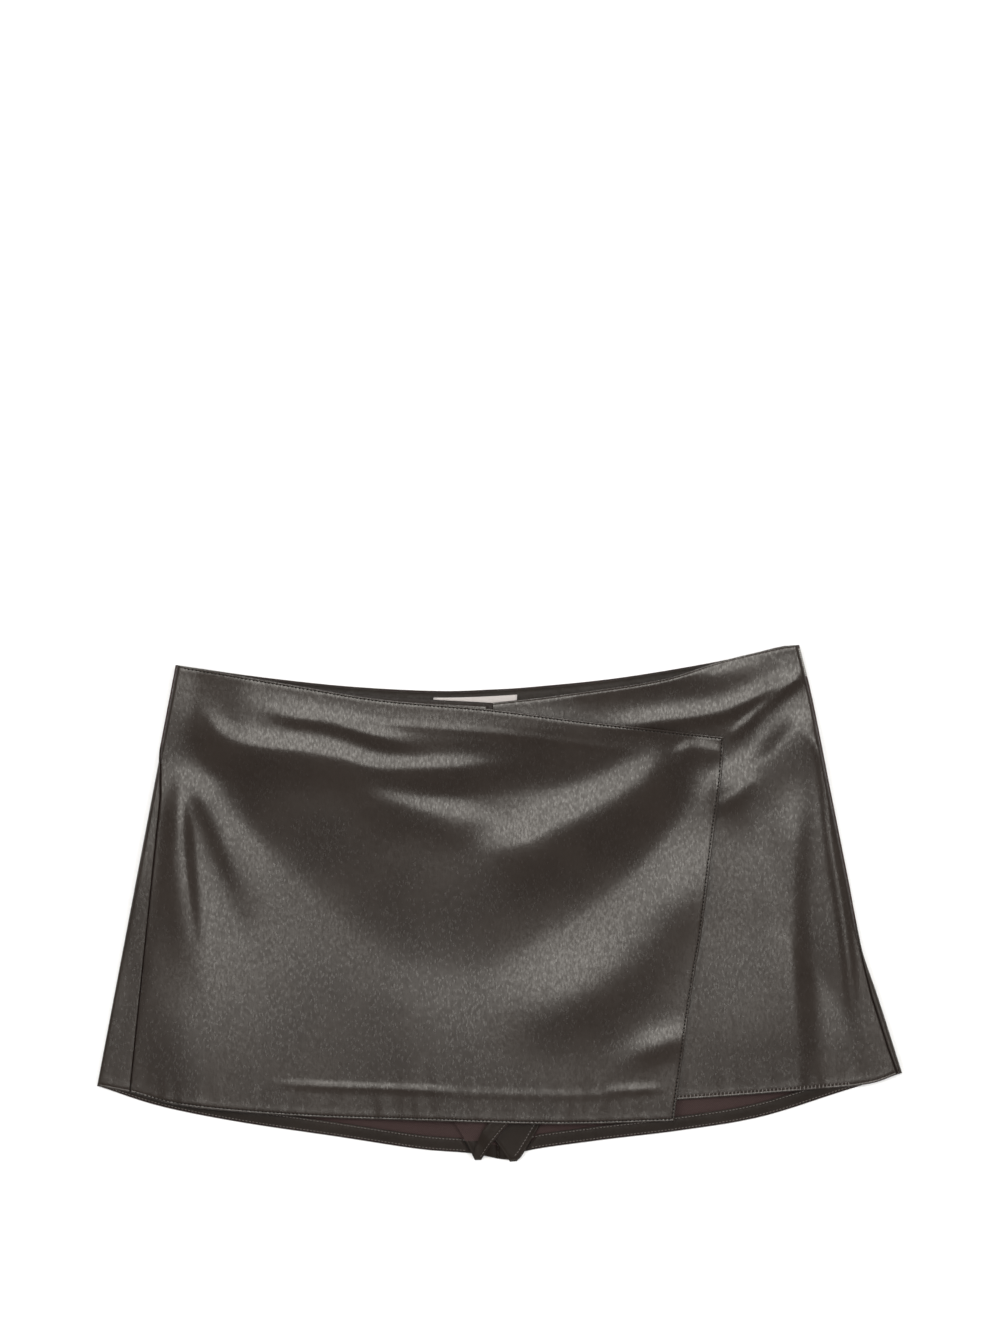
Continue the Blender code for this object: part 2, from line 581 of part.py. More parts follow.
def main():
    """Builds every piece of the skort."""
    clear_scene()
    collection = bpy.data.collections.new("Wrap skort")
    bpy.context.scene.collection.children.link(collection)
    leather = make_material("Leather", LEATHER)
    backing = make_material("Knitted backing", CLOTH_BACKING)
    label_cloth = make_material("Label cloth", LABEL_CLOTH)
    zip_tape = make_material("Zip tape", ZIP_TAPE)

    waist_left, waist_right = split(BACK_WAIST, CENTRE_BACK)
    gap = SEAM_GAP / 2
    hem_left, hem_right = list(BACK_LEFT_HEM), list(BACK_RIGHT_HEM)
    for edge, place, sign in ((hem_left, -1, -1), (waist_left, -1, -1), (hem_right, 0, 1), (waist_right, 0, 1)):
        edge[place] = (CENTRE_BACK + sign * gap, edge[place][1])
    corner_up, corner_across = shares_of(6), shares_of(6)
    pieces = (
        ("back_left", back_panel(LEFT, hem_left, waist_left, True), leather),
        ("back_right", back_panel(RIGHT, hem_right, waist_right, False), leather),
        ("back_left_hem", hem_band(BACK_LEFT_HEM, *LEFT_BAND_ENDS), leather),
        ("back_right_hem", hem_band(BACK_RIGHT_HEM, *RIGHT_BAND_ENDS), leather),
        ("back_waist_facing", facing(), leather),
        ("waist_label", label(), label_cloth),
        ("front_left", front_left_panel(), leather),
        ("front_right", front_right_panel(), leather),
        ("inner_leg_right", corner_patch(RIGHT_CORNER, corner_across, corner_up, flat_at(BACK_TOP + BAND_RISE)), leather),
        ("inner_leg_left", corner_patch(LEFT_CORNER, corner_across, corner_up, left_corner_height), backing),
        ("inner_leg_left_hem", left_corner_band(), leather),
        ("wrap_front", wrap_panel(), leather),
        ("side_zip", side_zip(), zip_tape),
    )
    for name, grid, material in pieces:
        make_wall(name, grid, material, collection)


main()
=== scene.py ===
"""Looks of a wrap skort that lies flat: its cloth panels, seams, stitches, zip, finishes and studio.

Lengths in the tables are in millimetres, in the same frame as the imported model: +X across the garment,
+Y toward the waist and +Z up. A mesh is made in metres.
"""

from __future__ import annotations

import logging
import math
from dataclasses import dataclass
from enum import Enum
from typing import Callable, Iterable, Sequence

import bmesh
import bpy
import numpy as np
from mathutils import Matrix, Vector

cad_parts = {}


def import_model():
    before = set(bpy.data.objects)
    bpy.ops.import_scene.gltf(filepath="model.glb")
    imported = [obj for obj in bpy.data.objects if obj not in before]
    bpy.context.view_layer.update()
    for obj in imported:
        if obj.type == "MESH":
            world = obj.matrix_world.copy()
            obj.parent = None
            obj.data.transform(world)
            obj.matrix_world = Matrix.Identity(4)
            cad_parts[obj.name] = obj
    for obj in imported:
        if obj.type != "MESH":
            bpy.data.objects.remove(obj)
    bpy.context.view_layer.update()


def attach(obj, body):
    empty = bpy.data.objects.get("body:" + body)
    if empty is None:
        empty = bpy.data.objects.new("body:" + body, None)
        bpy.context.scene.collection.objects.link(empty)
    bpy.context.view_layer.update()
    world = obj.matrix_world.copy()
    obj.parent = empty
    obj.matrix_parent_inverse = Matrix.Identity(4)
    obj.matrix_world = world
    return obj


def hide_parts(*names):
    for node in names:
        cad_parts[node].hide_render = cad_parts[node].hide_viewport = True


LOG = logging.getLogger("wrap_skort")
MM = 0.001
Array = np.ndarray
Object = bpy.types.Object
Material = bpy.types.Material
Pair = tuple[float, float]
Triple = tuple[float, float, float]
Route = tuple[Pair, ...]
Height = Callable[[Array, Array], Array]

WALL = 1.0
SEAM_GAP = 0.1
SIDE_SEAM_GAP = 0.5
BAND_RISE = 1.3
BACK_TOP = 1.0
FRONT_TOP = 2.4
WRAP_ABOVE_FRONT = 1.55
CENTRE_FRONT = -5.0
CENTRE_BACK = -1.0

CURVE_STEPS = 16
CUT_CLEARANCE = 8.0
EVEN_ROWS_FROM = 5.0
CLOSE_ROWS = (0.0, 0.06, 0.25, 0.5, 0.9, 1.2, 1.5, 1.8, 2.2, 2.9, 3.8)
LIP_DEPTH, LIP_WIDTH = 0.5, 0.3
GROOVE_DEPTH, GROOVE_PLACE, GROOVE_WIDTH = 0.08, 1.5, 0.3
SWELL_HEIGHT, SWELL_PLACE, SWELL_WIDTH = 0.04, 3.4, 1.5
SEAM_DIP, SEAM_DIP_WIDTH = 0.6, 0.5


def fade(value: Array) -> Array:
    """A smooth step from 0 to 1 as the value goes from 0 to 1."""
    value = np.clip(value, 0.0, 1.0)
    return value * value * (3 - 2 * value)


def plateau(value: Array, low: float, high: float, edge: float) -> Array:
    """1 between low and high, falling smoothly to 0 over the edge width outside them."""
    return fade((value - low) / edge + 1) * fade((high - value) / edge + 1)


def swell(value: Array, middle: Array | float, width: float) -> Array:
    """1 at the middle, falling off softly over the width on both sides of it."""
    return np.exp(-(((value - middle) / width) ** 2))


def unit(rows: Array) -> Array:
    """The directions of these (x, y) rows, at length 1."""
    return rows / np.hypot(rows[:, 0], rows[:, 1])[:, None]


def highest(*lifts: Array) -> Array:
    """A smooth maximum of lifts that are all 0 or more."""
    return sum(lift**6 for lift in lifts) ** (1 / 6)


@dataclass(frozen=True)
class Curve:
    """A smooth curve on the table through a few points."""

    points: Route

    def dense(self) -> Array:
        """Close points along the curve, as (x, y) rows."""
        knots = np.array(self.points, float)
        knots = np.vstack([2 * knots[0] - knots[1], knots, 2 * knots[-1] - knots[-2]])
        t = np.linspace(0, 1, CURVE_STEPS, endpoint=False)[:, None]
        runs = [
            0.5 * (2 * b + (c - a) * t + (2 * a - 5 * b + 4 * c - d) * t**2 + (3 * b - 3 * c + d - a) * t**3)
            for a, b, c, d in zip(knots, knots[1:], knots[2:], knots[3:])
        ]
        return np.vstack([*runs, knots[-2:-1]])

    def at(self, shares: Array) -> Array:
        """Places along the curve.

        Args:
            shares: how far along its length they lie, from 0 to 1.

        Returns:
            An array of (x, y) rows.
        """
        dense = self.dense()
        lengths = np.concatenate([[0], np.cumsum(np.hypot(*np.diff(dense, axis=0).T))])
        wanted = np.asarray(shares, float) * lengths[-1]
        return np.stack([np.interp(wanted, lengths, dense[:, axis]) for axis in (0, 1)], axis=-1)

    def y_at(self, x: Array) -> Array:
        """Height on the page where a curve that runs left to right passes x."""
        dense = self.dense()
        return np.interp(x, dense[:, 0], dense[:, 1])

    def x_at(self, y: Array) -> Array:
        """Place across where a curve that runs from hem to waist passes y."""
        dense = self.dense()
        return np.interp(y, dense[:, 1], dense[:, 0])

    def ending(self, first: Sequence[float] | None = None, last: Sequence[float] | None = None) -> Curve:
        """The same curve with other ends.

        Args:
            first: the new first point, or None for the old one.
            last: the new last point, or None for the old one.

        Returns:
            The curve.
        """
        points = list(self.points)
        if first is not None:
            points[0] = (float(first[0]), float(first[1]))
        if last is not None:
            points[-1] = (float(last[0]), float(last[1]))
        return Curve(tuple(points))

    def cut_at(self, x: float) -> tuple[Curve, Curve]:
        """Cuts a curve that runs left to right.

        Args:
            x: where it is cut.

        Returns:
            The left half and the right half.
        """
        place = (x, float(self.y_at(np.array(x))))
        left = tuple(point for point in self.points if point[0] < x - CUT_CLEARANCE)
        right = tuple(point for point in self.points if point[0] > x + CUT_CLEARANCE)
        return Curve((*left, place)), Curve((place, *right))

    def beside(self, offset: float, count: int, ends: Pair = (0.0, 1.0)) -> Array:
        """Places beside the curve.

        Args:
            offset: the distance to the left of the curve's direction.
            count: how many places.
            ends: the shares of the length between which they lie.

        Returns:
            An array of (x, y) rows.
        """
        line = self.at(np.linspace(*ends, count))
        run = unit(np.gradient(line, axis=0))
        return line + np.stack([-run[:, 1], run[:, 0]], axis=1) * offset

    def beside_at(self, offset: float, x: Array) -> Array:
        """Places beside a curve that runs left to right.

        Args:
            offset: how far above it they lie.
            x: the places across.

        Returns:
            An array of (x, y) rows.
        """
        line = self.beside(offset, 400)
        return np.column_stack([x, np.interp(x, line[:, 0], line[:, 1])])


class Edge(Enum):
    """The edges of the panels, each from left to right or from the hem up."""

    BACK_WAIST = Curve((
        (-216.1, 159.6), (-160.5, 151.6), (-100.0, 145.2), (-40.0, 142.2), (20.0, 144.8),
        (80.0, 151.0), (147.7, 162.3), (187.9, 171.9), (199.8, 173.0),
    ))
    FRONT_WAIST = Curve((
        (-211.0, 157.0), (-142.4, 146.4), (-80.1, 138.8), (-10.0, 134.2), (40.5, 139.6),
        (106.7, 149.6), (147.7, 162.0), (187.9, 171.5), (199.8, 172.8),
    ))
    WRAP_WAIST = Curve((
        (-216.1, 159.6), (-133.7, 145.5), (-80.1, 136.8), (-5.7, 130.1), (63.3, 121.4), (150.4, 111.4),
    ))
    WRAP_HEM = Curve((
        (-246.9, -127.8), (-208.7, -136.2), (-131.7, -142.9), (-46.6, -145.9), (40.5, -148.1), (116.9, -146.1),
    ))
    WRAP_FREE = Curve((
        (116.9, -146.1), (127.6, -66.9), (135.7, -17.3), (141.7, 31.6), (149.1, 89.9), (150.4, 111.4),
    ))
    FRONT_LEFT_HEM = Curve(((-243.0, -117.0), (-150.0, -129.0), (-60.0, -133.5), (-5.0, -135.5)))
    FRONT_RIGHT_HEM = Curve((
        (-5.0, -135.5), (60.0, -134.5), (120.9, -131.7), (207.4, -125.1), (246.2, -121.2), (269.7, -113.6),
    ))
    BACK_LEFT_HEM = Curve((
        (-269.7, -122.5), (-227.5, -135.9), (-173.9, -146.6), (-106.9, -156.6), (-53.3, -164.7),
        (-19.8, -167.4), (-1.0, -171.2),
    ))
    BACK_RIGHT_HEM = Curve((
        (-1.0, -171.2), (7.0, -172.6), (17.1, -166.0), (67.3, -158.7), (120.9, -152.2),
        (174.5, -143.2), (228.1, -126.5), (269.7, -113.6),
    ))
    LEFT_FOLD = Curve(((-269.7, -122.5), (-216.1, 159.6)))
    RIGHT_FOLD = Curve((
        (269.7, -113.6), (254.3, -65.0), (240.9, -24.7), (232.8, 15.5),
        (220.8, 75.8), (208.7, 136.8), (199.8, 173.0),
    ))


@dataclass(frozen=True)
class Side:
    """One side of the garment, where the back rolls over to the upper side.

    The seam is a table of (share of the side's length from the hem, girth of cloth past the outline).
    """

    line: Curve
    roll: float
    inward_sign: int
    seam: tuple[Pair, ...]
    sag: float = 0.0
    sag_width: float = 16.0
    sag_ends: Pair = (-60.0, 30.0)
    step: float = 0.02

    @property
    def quarter(self) -> float:
        """Girth of a quarter turn."""
        return self.roll * math.pi / 2

    @property
    def slack(self) -> float:
        """How much longer the cloth is round the fold than the page is wide there."""
        return self.quarter - self.roll

    def at(self, shares: Array) -> tuple[Array, Array]:
        """Points on the outline.

        Args:
            shares: how far along the side they lie, from 0 at the hem to 1.

        Returns:
            The points, and the unit directions inward from them.
        """
        shares = np.asarray(shares, float)
        run = unit(self.line.at(np.clip(shares + self.step, 0, 1)) - self.line.at(np.clip(shares - self.step, 0, 1)))
        return self.line.at(shares), np.stack([run[:, 1], -run[:, 0]], axis=1) * self.inward_sign

    def seam_girth(self, shares: Array) -> Array:
        """Where the side seam lies, as a girth past the outline."""
        return np.interp(shares, *zip(*self.seam))

    def sunk(self, x: Array, y: Array) -> Array:
        """How far the cloth sags beside the outline, toward the hem."""
        low, high = self.sag_ends
        return self.sag * swell(self.inward(x, y), 0.0, self.sag_width) * fade((high - y) / (high - low))

    def wrapped(self, shares: Array, girths: Array) -> Array:
        """Points of the outer face.

        Args:
            shares: how far along the side they lie, from 0 at the hem to 1.
            girths: how far round the side: above 0 on the upper side, below 0 under it.

        Returns:
            An array of (x, y, z) rows.
        """
        points, inward = self.at(shares)
        turn = np.clip(girths / self.roll, -math.pi / 2, math.pi / 2)
        distance = self.roll * (1 - np.cos(turn)) + np.maximum(np.abs(girths) - self.quarter, 0)
        page, rise = points + inward * distance[:, None], (1 + np.sin(turn)) / 2
        return np.column_stack([page, 2 * self.roll * rise - self.sunk(page[:, 0], page[:, 1]) * rise**2])

    def seam_edge(self, shares: Array, offset: float) -> Array:
        """The flat pattern's edge this far past the seam."""
        points, inward = self.at(shares)
        return points + inward * (self.seam_girth(shares) + offset - self.slack)[:, None]

    def inward(self, x: Array, y: Array) -> Array:
        """How far places lie inward of the outline.

        Args:
            x: the places across.
            y: the places up.

        Returns:
            The distances.
        """
        line = self.line.dense()
        slope = (line[-1, 0] - line[0, 0]) / (line[-1, 1] - line[0, 1])
        return self.inward_sign * (x - self.line.x_at(y)) / np.hypot(1, slope)

    def roll_down(self, grid: Array) -> Array:
        """Bends the part of a flat panel that lies past the quarter turn down round the fold.

        Args:
            grid: the panel's places, as (x, y, z).

        Returns:
            The bent grid.
        """
        x, y, z = np.moveaxis(grid, 2, 0)
        distance = self.inward(x, y)
        turn = np.clip((distance + self.slack) / self.roll, 0, math.pi / 2)
        past = distance < self.roll
        moved = np.where(past, self.roll * (1 - np.cos(turn)) - distance, 0)
        drop = np.where(past, self.roll * (1 - np.sin(turn)), 0)
        return np.dstack([x + self.inward_sign * moved, y, z - drop])


LEFT = Side(
    Edge.LEFT_FOLD.value, 1.95, 1, ((0, 23.7), (0.0625, 22.1), (0.6875, 6.9), (0.8125, 0.0), (1, 0.0)), 1.3
)
RIGHT = Side(
    Edge.RIGHT_FOLD.value, 1.9, -1,
    ((0, 4.3), (0.0625, 5.1), (0.1875, 5.1), (0.25, 3.3), (0.375, 0.0), (1, 0.0)),
)


@dataclass(frozen=True)
class Fold:
    """A soft crease of cloth.

    The route runs along its crest, from left to right or from the waist down. The widths are those of the
    slopes on the left and on the right of the route, and start and end the shares over which its ends fade.
    """

    route: Route
    height: float
    left_width: float
    right_width: float
    start: float
    end: float
    samples: int = 48
    blend: float = 12.0
    side_blend: float = 6.0

    def rise(self, x: Array, y: Array) -> Array:
        """Height that the fold adds.

        Args:
            x: the places across.
            y: the places up.

        Returns:
            The heights there.
        """
        shares = np.linspace(0, 1, self.samples)
        crest = Curve(self.route).at(shares)
        place = np.stack([np.ravel(x), np.ravel(y)], axis=1)
        square = np.full(len(place), np.inf)
        for start, run in zip(crest, np.diff(crest, axis=0)):
            along = np.clip((place - start) @ run / (run @ run), 0, 1)
            square = np.minimum(square, ((place - start - along[:, None] * run) ** 2).sum(axis=1))
        offset_x, offset_y = place[:, :1] - crest[:, 0], place[:, 1:] - crest[:, 1]
        squares = offset_x**2 + offset_y**2
        weight = np.exp((squares.min(axis=1, keepdims=True) - squares) / self.blend**2)
        weight /= weight.sum(axis=1, keepdims=True)
        run = unit(np.gradient(crest, axis=0))
        side = (weight * (run[:, 0] * offset_y - run[:, 1] * offset_x)).sum(axis=1)
        width = self.right_width + (self.left_width - self.right_width) * fade(0.5 + side / self.side_blend)
        share = weight @ shares
        ends = fade(share / self.start) * fade((1 - share) / self.end)
        return (self.height * np.exp(-square / width**2) * ends).reshape(np.shape(x))


@dataclass(frozen=True)
class Ripple:
    """Fine waves in the cloth along an edge, where its stitches draw it in."""

    edge: Curve
    height: float
    reach: float
    waves: tuple[Pair, ...] = ((23.0, 0.4), (13.7, 2.1), (8.9, 4.4))
    slant: float = 0.02

    def rise(self, x: Array, y: Array) -> Array:
        """Height of the waves at these places."""
        total = sum(np.sin(2 * math.pi * x / length + phase + self.slant * y) for length, phase in self.waves)
        return self.height * total / len(self.waves) * swell(y, self.edge.y_at(x), self.reach)


@dataclass(frozen=True)
class Welt:
    """The narrow ridge that a turned edge or a facing makes on the face of the cloth over it."""

    edge: Curve
    offset: float
    height: float
    width: float
    ends: Pair
    end_fade: float = 40.0

    def rise(self, x: Array, y: Array) -> Array:
        """Height of the ridge at these places."""
        crest = swell(y, self.edge.y_at(x) + self.offset, self.width)
        return self.height * crest * plateau(x, *self.ends, self.end_fade)


WRAP_FOLDS: dict[str, Fold] = {
    "upper drape": Fold(
        (
            (-205, 136), (-197, 122), (-184, 110), (-159, 104), (-133, 101), (-107, 96),
            (-80, 89), (-40, 89), (0, 91), (27, 93),
        ),
        1.5, 8.0, 17.0, 0.15, 0.3,
    ),
    "inner drape": Fold(((-165, 133), (-140, 125), (-114, 121), (-80, 111), (-47, 104)), 0.7, 6.0, 5.0, 0.3, 0.3),
    "middle left drape": Fold(((-107, 79), (-80, 69), (-40, 59), (0, 50)), 1.0, 9.0, 16.0, 0.35, 0.3),
    "middle right drape": Fold(
        ((-14, 33), (14, 38), (40, 52), (67, 65), (94, 82), (111, 92), (128, 99), (142, 106)),
        1.5, 13.0, 20.0, 0.2, 0.35,
    ),
    "low left drape": Fold(
        ((-179, -18), (-154, -38), (-113, -55), (-80, -68), (-40, -85), (0, -95), (40, -98)), 0.2, 25.0, 60.0, 0.4, 0.4
    ),
    "low right drape": Fold(
        ((-20, -78), (0, -75), (40, -67), (81, -43), (107.5, -12.6), (127.6, 12), (139.7, 35.6), (144.4, 59)),
        1.5, 26.0, 24.0, 0.35, 0.3,
    ),
    "outer left ridge": Fold(((-222, 101), (-215, 69), (-212, 22), (-206, -31), (-199, -72)), 1.8, 7.0, 14.0, 0.3, 0.5),
    "lower left slope": Fold(
        ((-198, 60), (-202, 0), (-202, -70), (-199, -130), (-198, -170)), 3.0, 60.0, 32.0, 0.75, 0.1
    ),
    "inner left ridge": Fold(((-219, 101), (-204, 79), (-184, 42), (-159, -25)), 1.2, 14.0, 9.0, 0.3, 0.5),
    "waist fall": Fold(((-40, 135), (20, 129), (63, 123), (110, 117), (135, 114)), 0.7, 10.0, 24.0, 0.35, 0.3),
    "corner pucker": Fold(((126, 104), (134, 104.5), (142, 103)), 0.5, 3.5, 9.0, 0.4, 0.4),
    "corner roll": Fold(((80, -108), (100, -98), (120, -90), (132, -86)), 0.8, 9.0, 9.0, 0.5, 0.4),
}
FRONT_FOLDS: dict[str, Fold] = {
    "long right fold": Fold(
        ((201, 121), (197, 96), (194.6, 69), (192.6, 35.6), (191.3, 2), (194.6, -65), (198, -118), (200, -160)),
        1.8, 14.0, 42.0, 0.6, 0.1,
    ),
    "right fall": Fold(
        ((200, 92), (196, 69), (194, 36), (193, 2), (196, -65), (199, -118)), 1.2, 12.0, 20.0, 0.25, 0.45
    ),
    "edge ridge": Fold(
        (
            (208, 117.4), (212.7, 105), (215.4, 94.6), (216.7, 84.6), (218.8, 69.8), (221.4, 42.3),
            (228, 2), (233.5, -38), (238.9, -98),
        ),
        0.8, 4.0, 3.5, 0.1, 0.3,
    ),
    "waist slope": Fold(((30, 144), (60, 147), (94, 151), (130, 156), (158, 160)), 1.0, 6.0, 12.0, 0.3, 0.25),
    "upper corner fold": Fold(
        ((62, 117), (94, 120), (108, 122), (130, 124.5), (150, 128.5), (164, 134.5), (182, 143), (199, 151)),
        0.75, 6.0, 5.0, 0.35, 0.08,
    ),
    "middle corner fold": Fold(
        ((156.5, 114), (165, 121), (174, 129.5), (184.6, 138), (193.5, 146), (199, 151)), 0.45, 2.6, 4.0, 0.2, 0.1
    ),
    "lower corner fold": Fold(
        ((136, 67), (152, 77.5), (167, 87), (181, 97), (192, 108), (202, 118), (210, 125)), 1.4, 9.5, 24.0, 0.25, 0.15
    ),
    "corner lobe": Fold(((148, 66), (158, 72), (167, 81)), 0.4, 4.0, 6.0, 0.4, 0.4),
    "waist roll": Fold(((125, 146), (148, 154), (165, 159), (184, 163)), 0.4, 4.0, 12.0, 0.5, 0.4),
}
BOWL_EDGE = Curve((
    (-200.7, 121.4), (-184, 108), (-159, 101), (-133.7, 98.6), (-107, 90.6), (-80, 75.8), (-40, 57), (0, 41),
    (40.5, 53), (67, 65), (94, 81), (114, 92), (134, 102.6), (142, 108),
))
BOWL_FOOT = Curve((
    (-200, 72), (-165, 42), (-134, 12), (-87, -30), (-40, -50), (0, -45), (40, -21), (81, 9), (108, 36), (142, 78),
))


WRAP_WELTS: tuple[Welt | Ripple, ...] = (
    Welt(Edge.WRAP_HEM.value, 21.0, 0.28, 1.7, (-120.0, -62.0)),
    Welt(Edge.WRAP_HEM.value, 19.5, 0.10, 2.2, (-40.0, 60.0)),
    Welt(Edge.WRAP_HEM.value, 22.0, 0.26, 2.4, (84.0, 96.0), 18.0),
    Welt(Edge.WRAP_WAIST.value, -16.0, 0.16, 2.0, (-95.0, 60.0)),
    Ripple(Edge.WRAP_HEM.value, 0.09, 15.0),
)
FRONT_WELTS: tuple[Welt | Ripple, ...] = (Ripple(Edge.FRONT_RIGHT_HEM.value, 0.13, 15.0, ((21.0, 2.4), (12.1, 0.6))),)


@dataclass(frozen=True)
class Lay:
    """How high each layer of the garment lies."""

    facing_ends: Pair = (-188.0, 146.0)
    facing_depth: float = 22.0
    waist_lift: float = 1.35
    waist_lift_depth: float = 27.0
    waist_fades: Pair = (60.0, 45.0)
    label_ends: Pair = (-44.3, 11.7)
    label_depths: Pair = (4.4, 20.0)
    label_lift: float = 1.4
    label_margin: float = 3.0
    label_fades: Pair = (80.0, 50.0)
    side_lift_depth: float = 12.0
    side_fade: float = 38.0
    hem_lift: float = 1.25
    hem_lift_from: Pair = (188.0, -98.0)
    hem_fade: float = 90.0
    corner_lift: float = 2.4
    corner_lift_ends: Pair = (-30.0, 27.0)
    corner_lift_top: float = -136.0
    corner_fades: Pair = (70.0, 230.0)
    bowl_rise: float = 2.8
    bowl_ends: Pair = (-160.0, 90.0)
    bowl_fade: float = 50.0
    seam_fade: float = 22.0
    most_relief: float = 5.5
    reach_under_wrap: float = 25.0

    def relief(self, folds: Iterable[Fold], x: Array, y: Array) -> Array:
        """Height of all these folds together, held under the most that the cloth rises."""
        total = sum(fold.rise(x, y) for fold in folds)
        return self.most_relief * np.tanh(total / self.most_relief)

    def base(self, x: Array, y: Array) -> Array:
        """The upper face of the shorts' front without its folds.

        Args:
            x: the places across.
            y: the places up.

        Returns:
            The heights there.
        """
        depth = Edge.BACK_WAIST.value.y_at(x) - y
        over_waist = plateau(x, *self.facing_ends, self.waist_fades[0])
        over_waist = over_waist * fade((self.waist_lift_depth - depth) / self.waist_fades[1] + 1)
        left, right = self.label_ends
        over_label = plateau(x, left - self.label_margin, right + self.label_margin, self.label_fades[0])
        over_label = over_label * fade((self.label_depths[1] + self.label_margin - depth) / self.label_fades[1] + 1)
        at_side = fade((self.side_lift_depth - RIGHT.inward(x, y)) / self.side_fade + 1)
        at_hem = fade((x - self.hem_lift_from[0]) / self.hem_fade + 1)
        at_hem = at_hem * fade((self.hem_lift_from[1] - y) / self.hem_fade + 1)
        side_lift = 2 * RIGHT.roll - FRONT_TOP
        lifts = highest(self.waist_lift * over_waist, side_lift * at_side, self.hem_lift * at_hem)
        return FRONT_TOP + lifts + self.label_lift * over_label

    def front(self, x: Array, y: Array) -> Array:
        """The upper face of the shorts' front.

        Args:
            x: the places across.
            y: the places up.

        Returns:
            The heights there.
        """
        shown = fade((x - Edge.WRAP_FREE.value.x_at(y)) / self.reach_under_wrap + 1)
        above = fade((y - Edge.WRAP_WAIST.value.y_at(x)) / self.reach_under_wrap + 1)
        welts = sum(welt.rise(x, y) for welt in FRONT_WELTS)
        return self.base(x, y) + self.relief(FRONT_FOLDS.values(), x, y) * np.maximum(shown, above) + welts

    def wrap(self, x: Array, y: Array) -> Array:
        """The upper face of the wrap panel.

        Args:
            x: the places across.
            y: the places up.

        Returns:
            The heights there.
        """
        over_corners = plateau(x, *self.corner_lift_ends, self.corner_fades[0])
        over_corners = over_corners * fade((self.corner_lift_top - y) / self.corner_fades[1] + 1)
        bowl = fade((y - BOWL_FOOT.y_at(x)) / (BOWL_EDGE.y_at(x) - BOWL_FOOT.y_at(x)))
        bowl = bowl * plateau(x, *self.bowl_ends, self.bowl_fade)
        folds = self.relief(WRAP_FOLDS.values(), x, y) + self.bowl_rise * bowl
        folds = folds * fade(LEFT.inward(x, y) / self.seam_fade)
        welts = sum(welt.rise(x, y) for welt in WRAP_WELTS)
        return self.front(x, y) + WRAP_ABOVE_FRONT + self.corner_lift * over_corners + folds + welts - LEFT.sunk(x, y)


LAY = Lay()


def turned_edge(distance: Array) -> Array:
    """How a turned and stitched edge shapes the cloth's face.

    Args:
        distance: how far the places lie from the edge.

    Returns:
        The height to add: a rounded lip, a groove along the stitches and a soft swell inside it.
    """
    lip = -LIP_DEPTH * np.clip(1 - distance / LIP_WIDTH, 0, 1) ** 2
    groove = -GROOVE_DEPTH * swell(distance, GROOVE_PLACE, GROOVE_WIDTH)
    return lip + groove + SWELL_HEIGHT * swell(distance, SWELL_PLACE, SWELL_WIDTH)


def seam_dip(distance: Array) -> Array:
    """How the cloth's face sinks where it is sewn to the next panel, at this distance from the seam."""
    return -SEAM_DIP * np.clip(1 - distance / SEAM_DIP_WIDTH, 0, 1) ** 2


def on_backs(x: Array, y: Array) -> Array:
    """The upper face of what lies on the backs."""
    return np.full(np.shape(x), BACK_TOP + BAND_RISE)


def graded(length: float, pitch: float, start: bool = True, end: bool = True) -> Array:
    """Shares of a panel's length, even but for close rows by its edges.

    Args:
        length: the panel's length.
        pitch: the distance between even rows.
        start: whether the first edge has close rows.
        end: whether the last edge has close rows.

    Returns:
        Rising shares from 0 to 1.
    """
    close, even_from = np.array(CLOSE_ROWS) / length, EVEN_ROWS_FROM / length
    low, high = (even_from if start else 0.0), 1 - (even_from if end else 0.0)
    middle = np.linspace(low, high, max(2, int(length / pitch)))
    return np.concatenate([close if start else [], middle, 1 - close[::-1] if end else []])


@dataclass
class Pattern:
    """A panel laid out between four edges, as a grid of places on the page."""

    hem: Curve
    waist: Curve
    left: Array
    right: Array
    across: Array
    up: Array

    def page(self) -> Array:
        """Fills in the places between the edges.

        Returns:
            The grid of (x, y), one row for each share up.
        """
        low, high = self.hem.at(self.across)[None], self.waist.at(self.across)[None]
        u, v = self.across[None, :, None], self.up[:, None, None]
        corners = (1 - u) * (1 - v) * low[:, :1] + u * (1 - v) * low[:, -1:]
        corners = corners + (1 - u) * v * high[:, :1] + u * v * high[:, -1:]
        return (1 - v) * low + v * high + (1 - u) * self.left[:, None] + u * self.right[:, None] - corners


def edge_distances(page: Array, sides: str) -> Array:
    """How far each place of a grid lies from the nearest of its named edges.

    Args:
        page: the grid of places.
        sides: letters of the edges that count: h for hem, w for waist, l for left and r for right.

    Returns:
        The distances.
    """
    ends = {"h": page[:1], "w": page[-1:], "l": page[:, :1], "r": page[:, -1:]}
    return np.min([np.hypot(*np.moveaxis(page - ends[side], 2, 0)) for side in sides], axis=0)


def raised(page: Array, height: Height, turned: str = "", seamed: str = "", share: float = 1.0) -> Array:
    """Raises a panel's page to its face.

    Args:
        page: the grid of (x, y).
        height: the face's height, but for its edges.
        turned: letters of the turned and stitched edges, as in edge_distances.
        seamed: letters of the edges that are sewn to the next panel.
        share: how much of a turned edge's relief it has.

    Returns:
        The grid of (x, y, z).
    """
    face = height(page[:, :, 0], page[:, :, 1])
    if turned:
        face = face + turned_edge(edge_distances(page, turned)) * share
    if seamed:
        face = face + seam_dip(edge_distances(page, seamed))
    return np.dstack([page, face])


def straight(first: Sequence[float], last: Sequence[float], shares: Array) -> Array:
    """The (x, y) rows at these shares of a straight seam."""
    return np.asarray(first) + np.outer(shares, np.subtract(last, first))


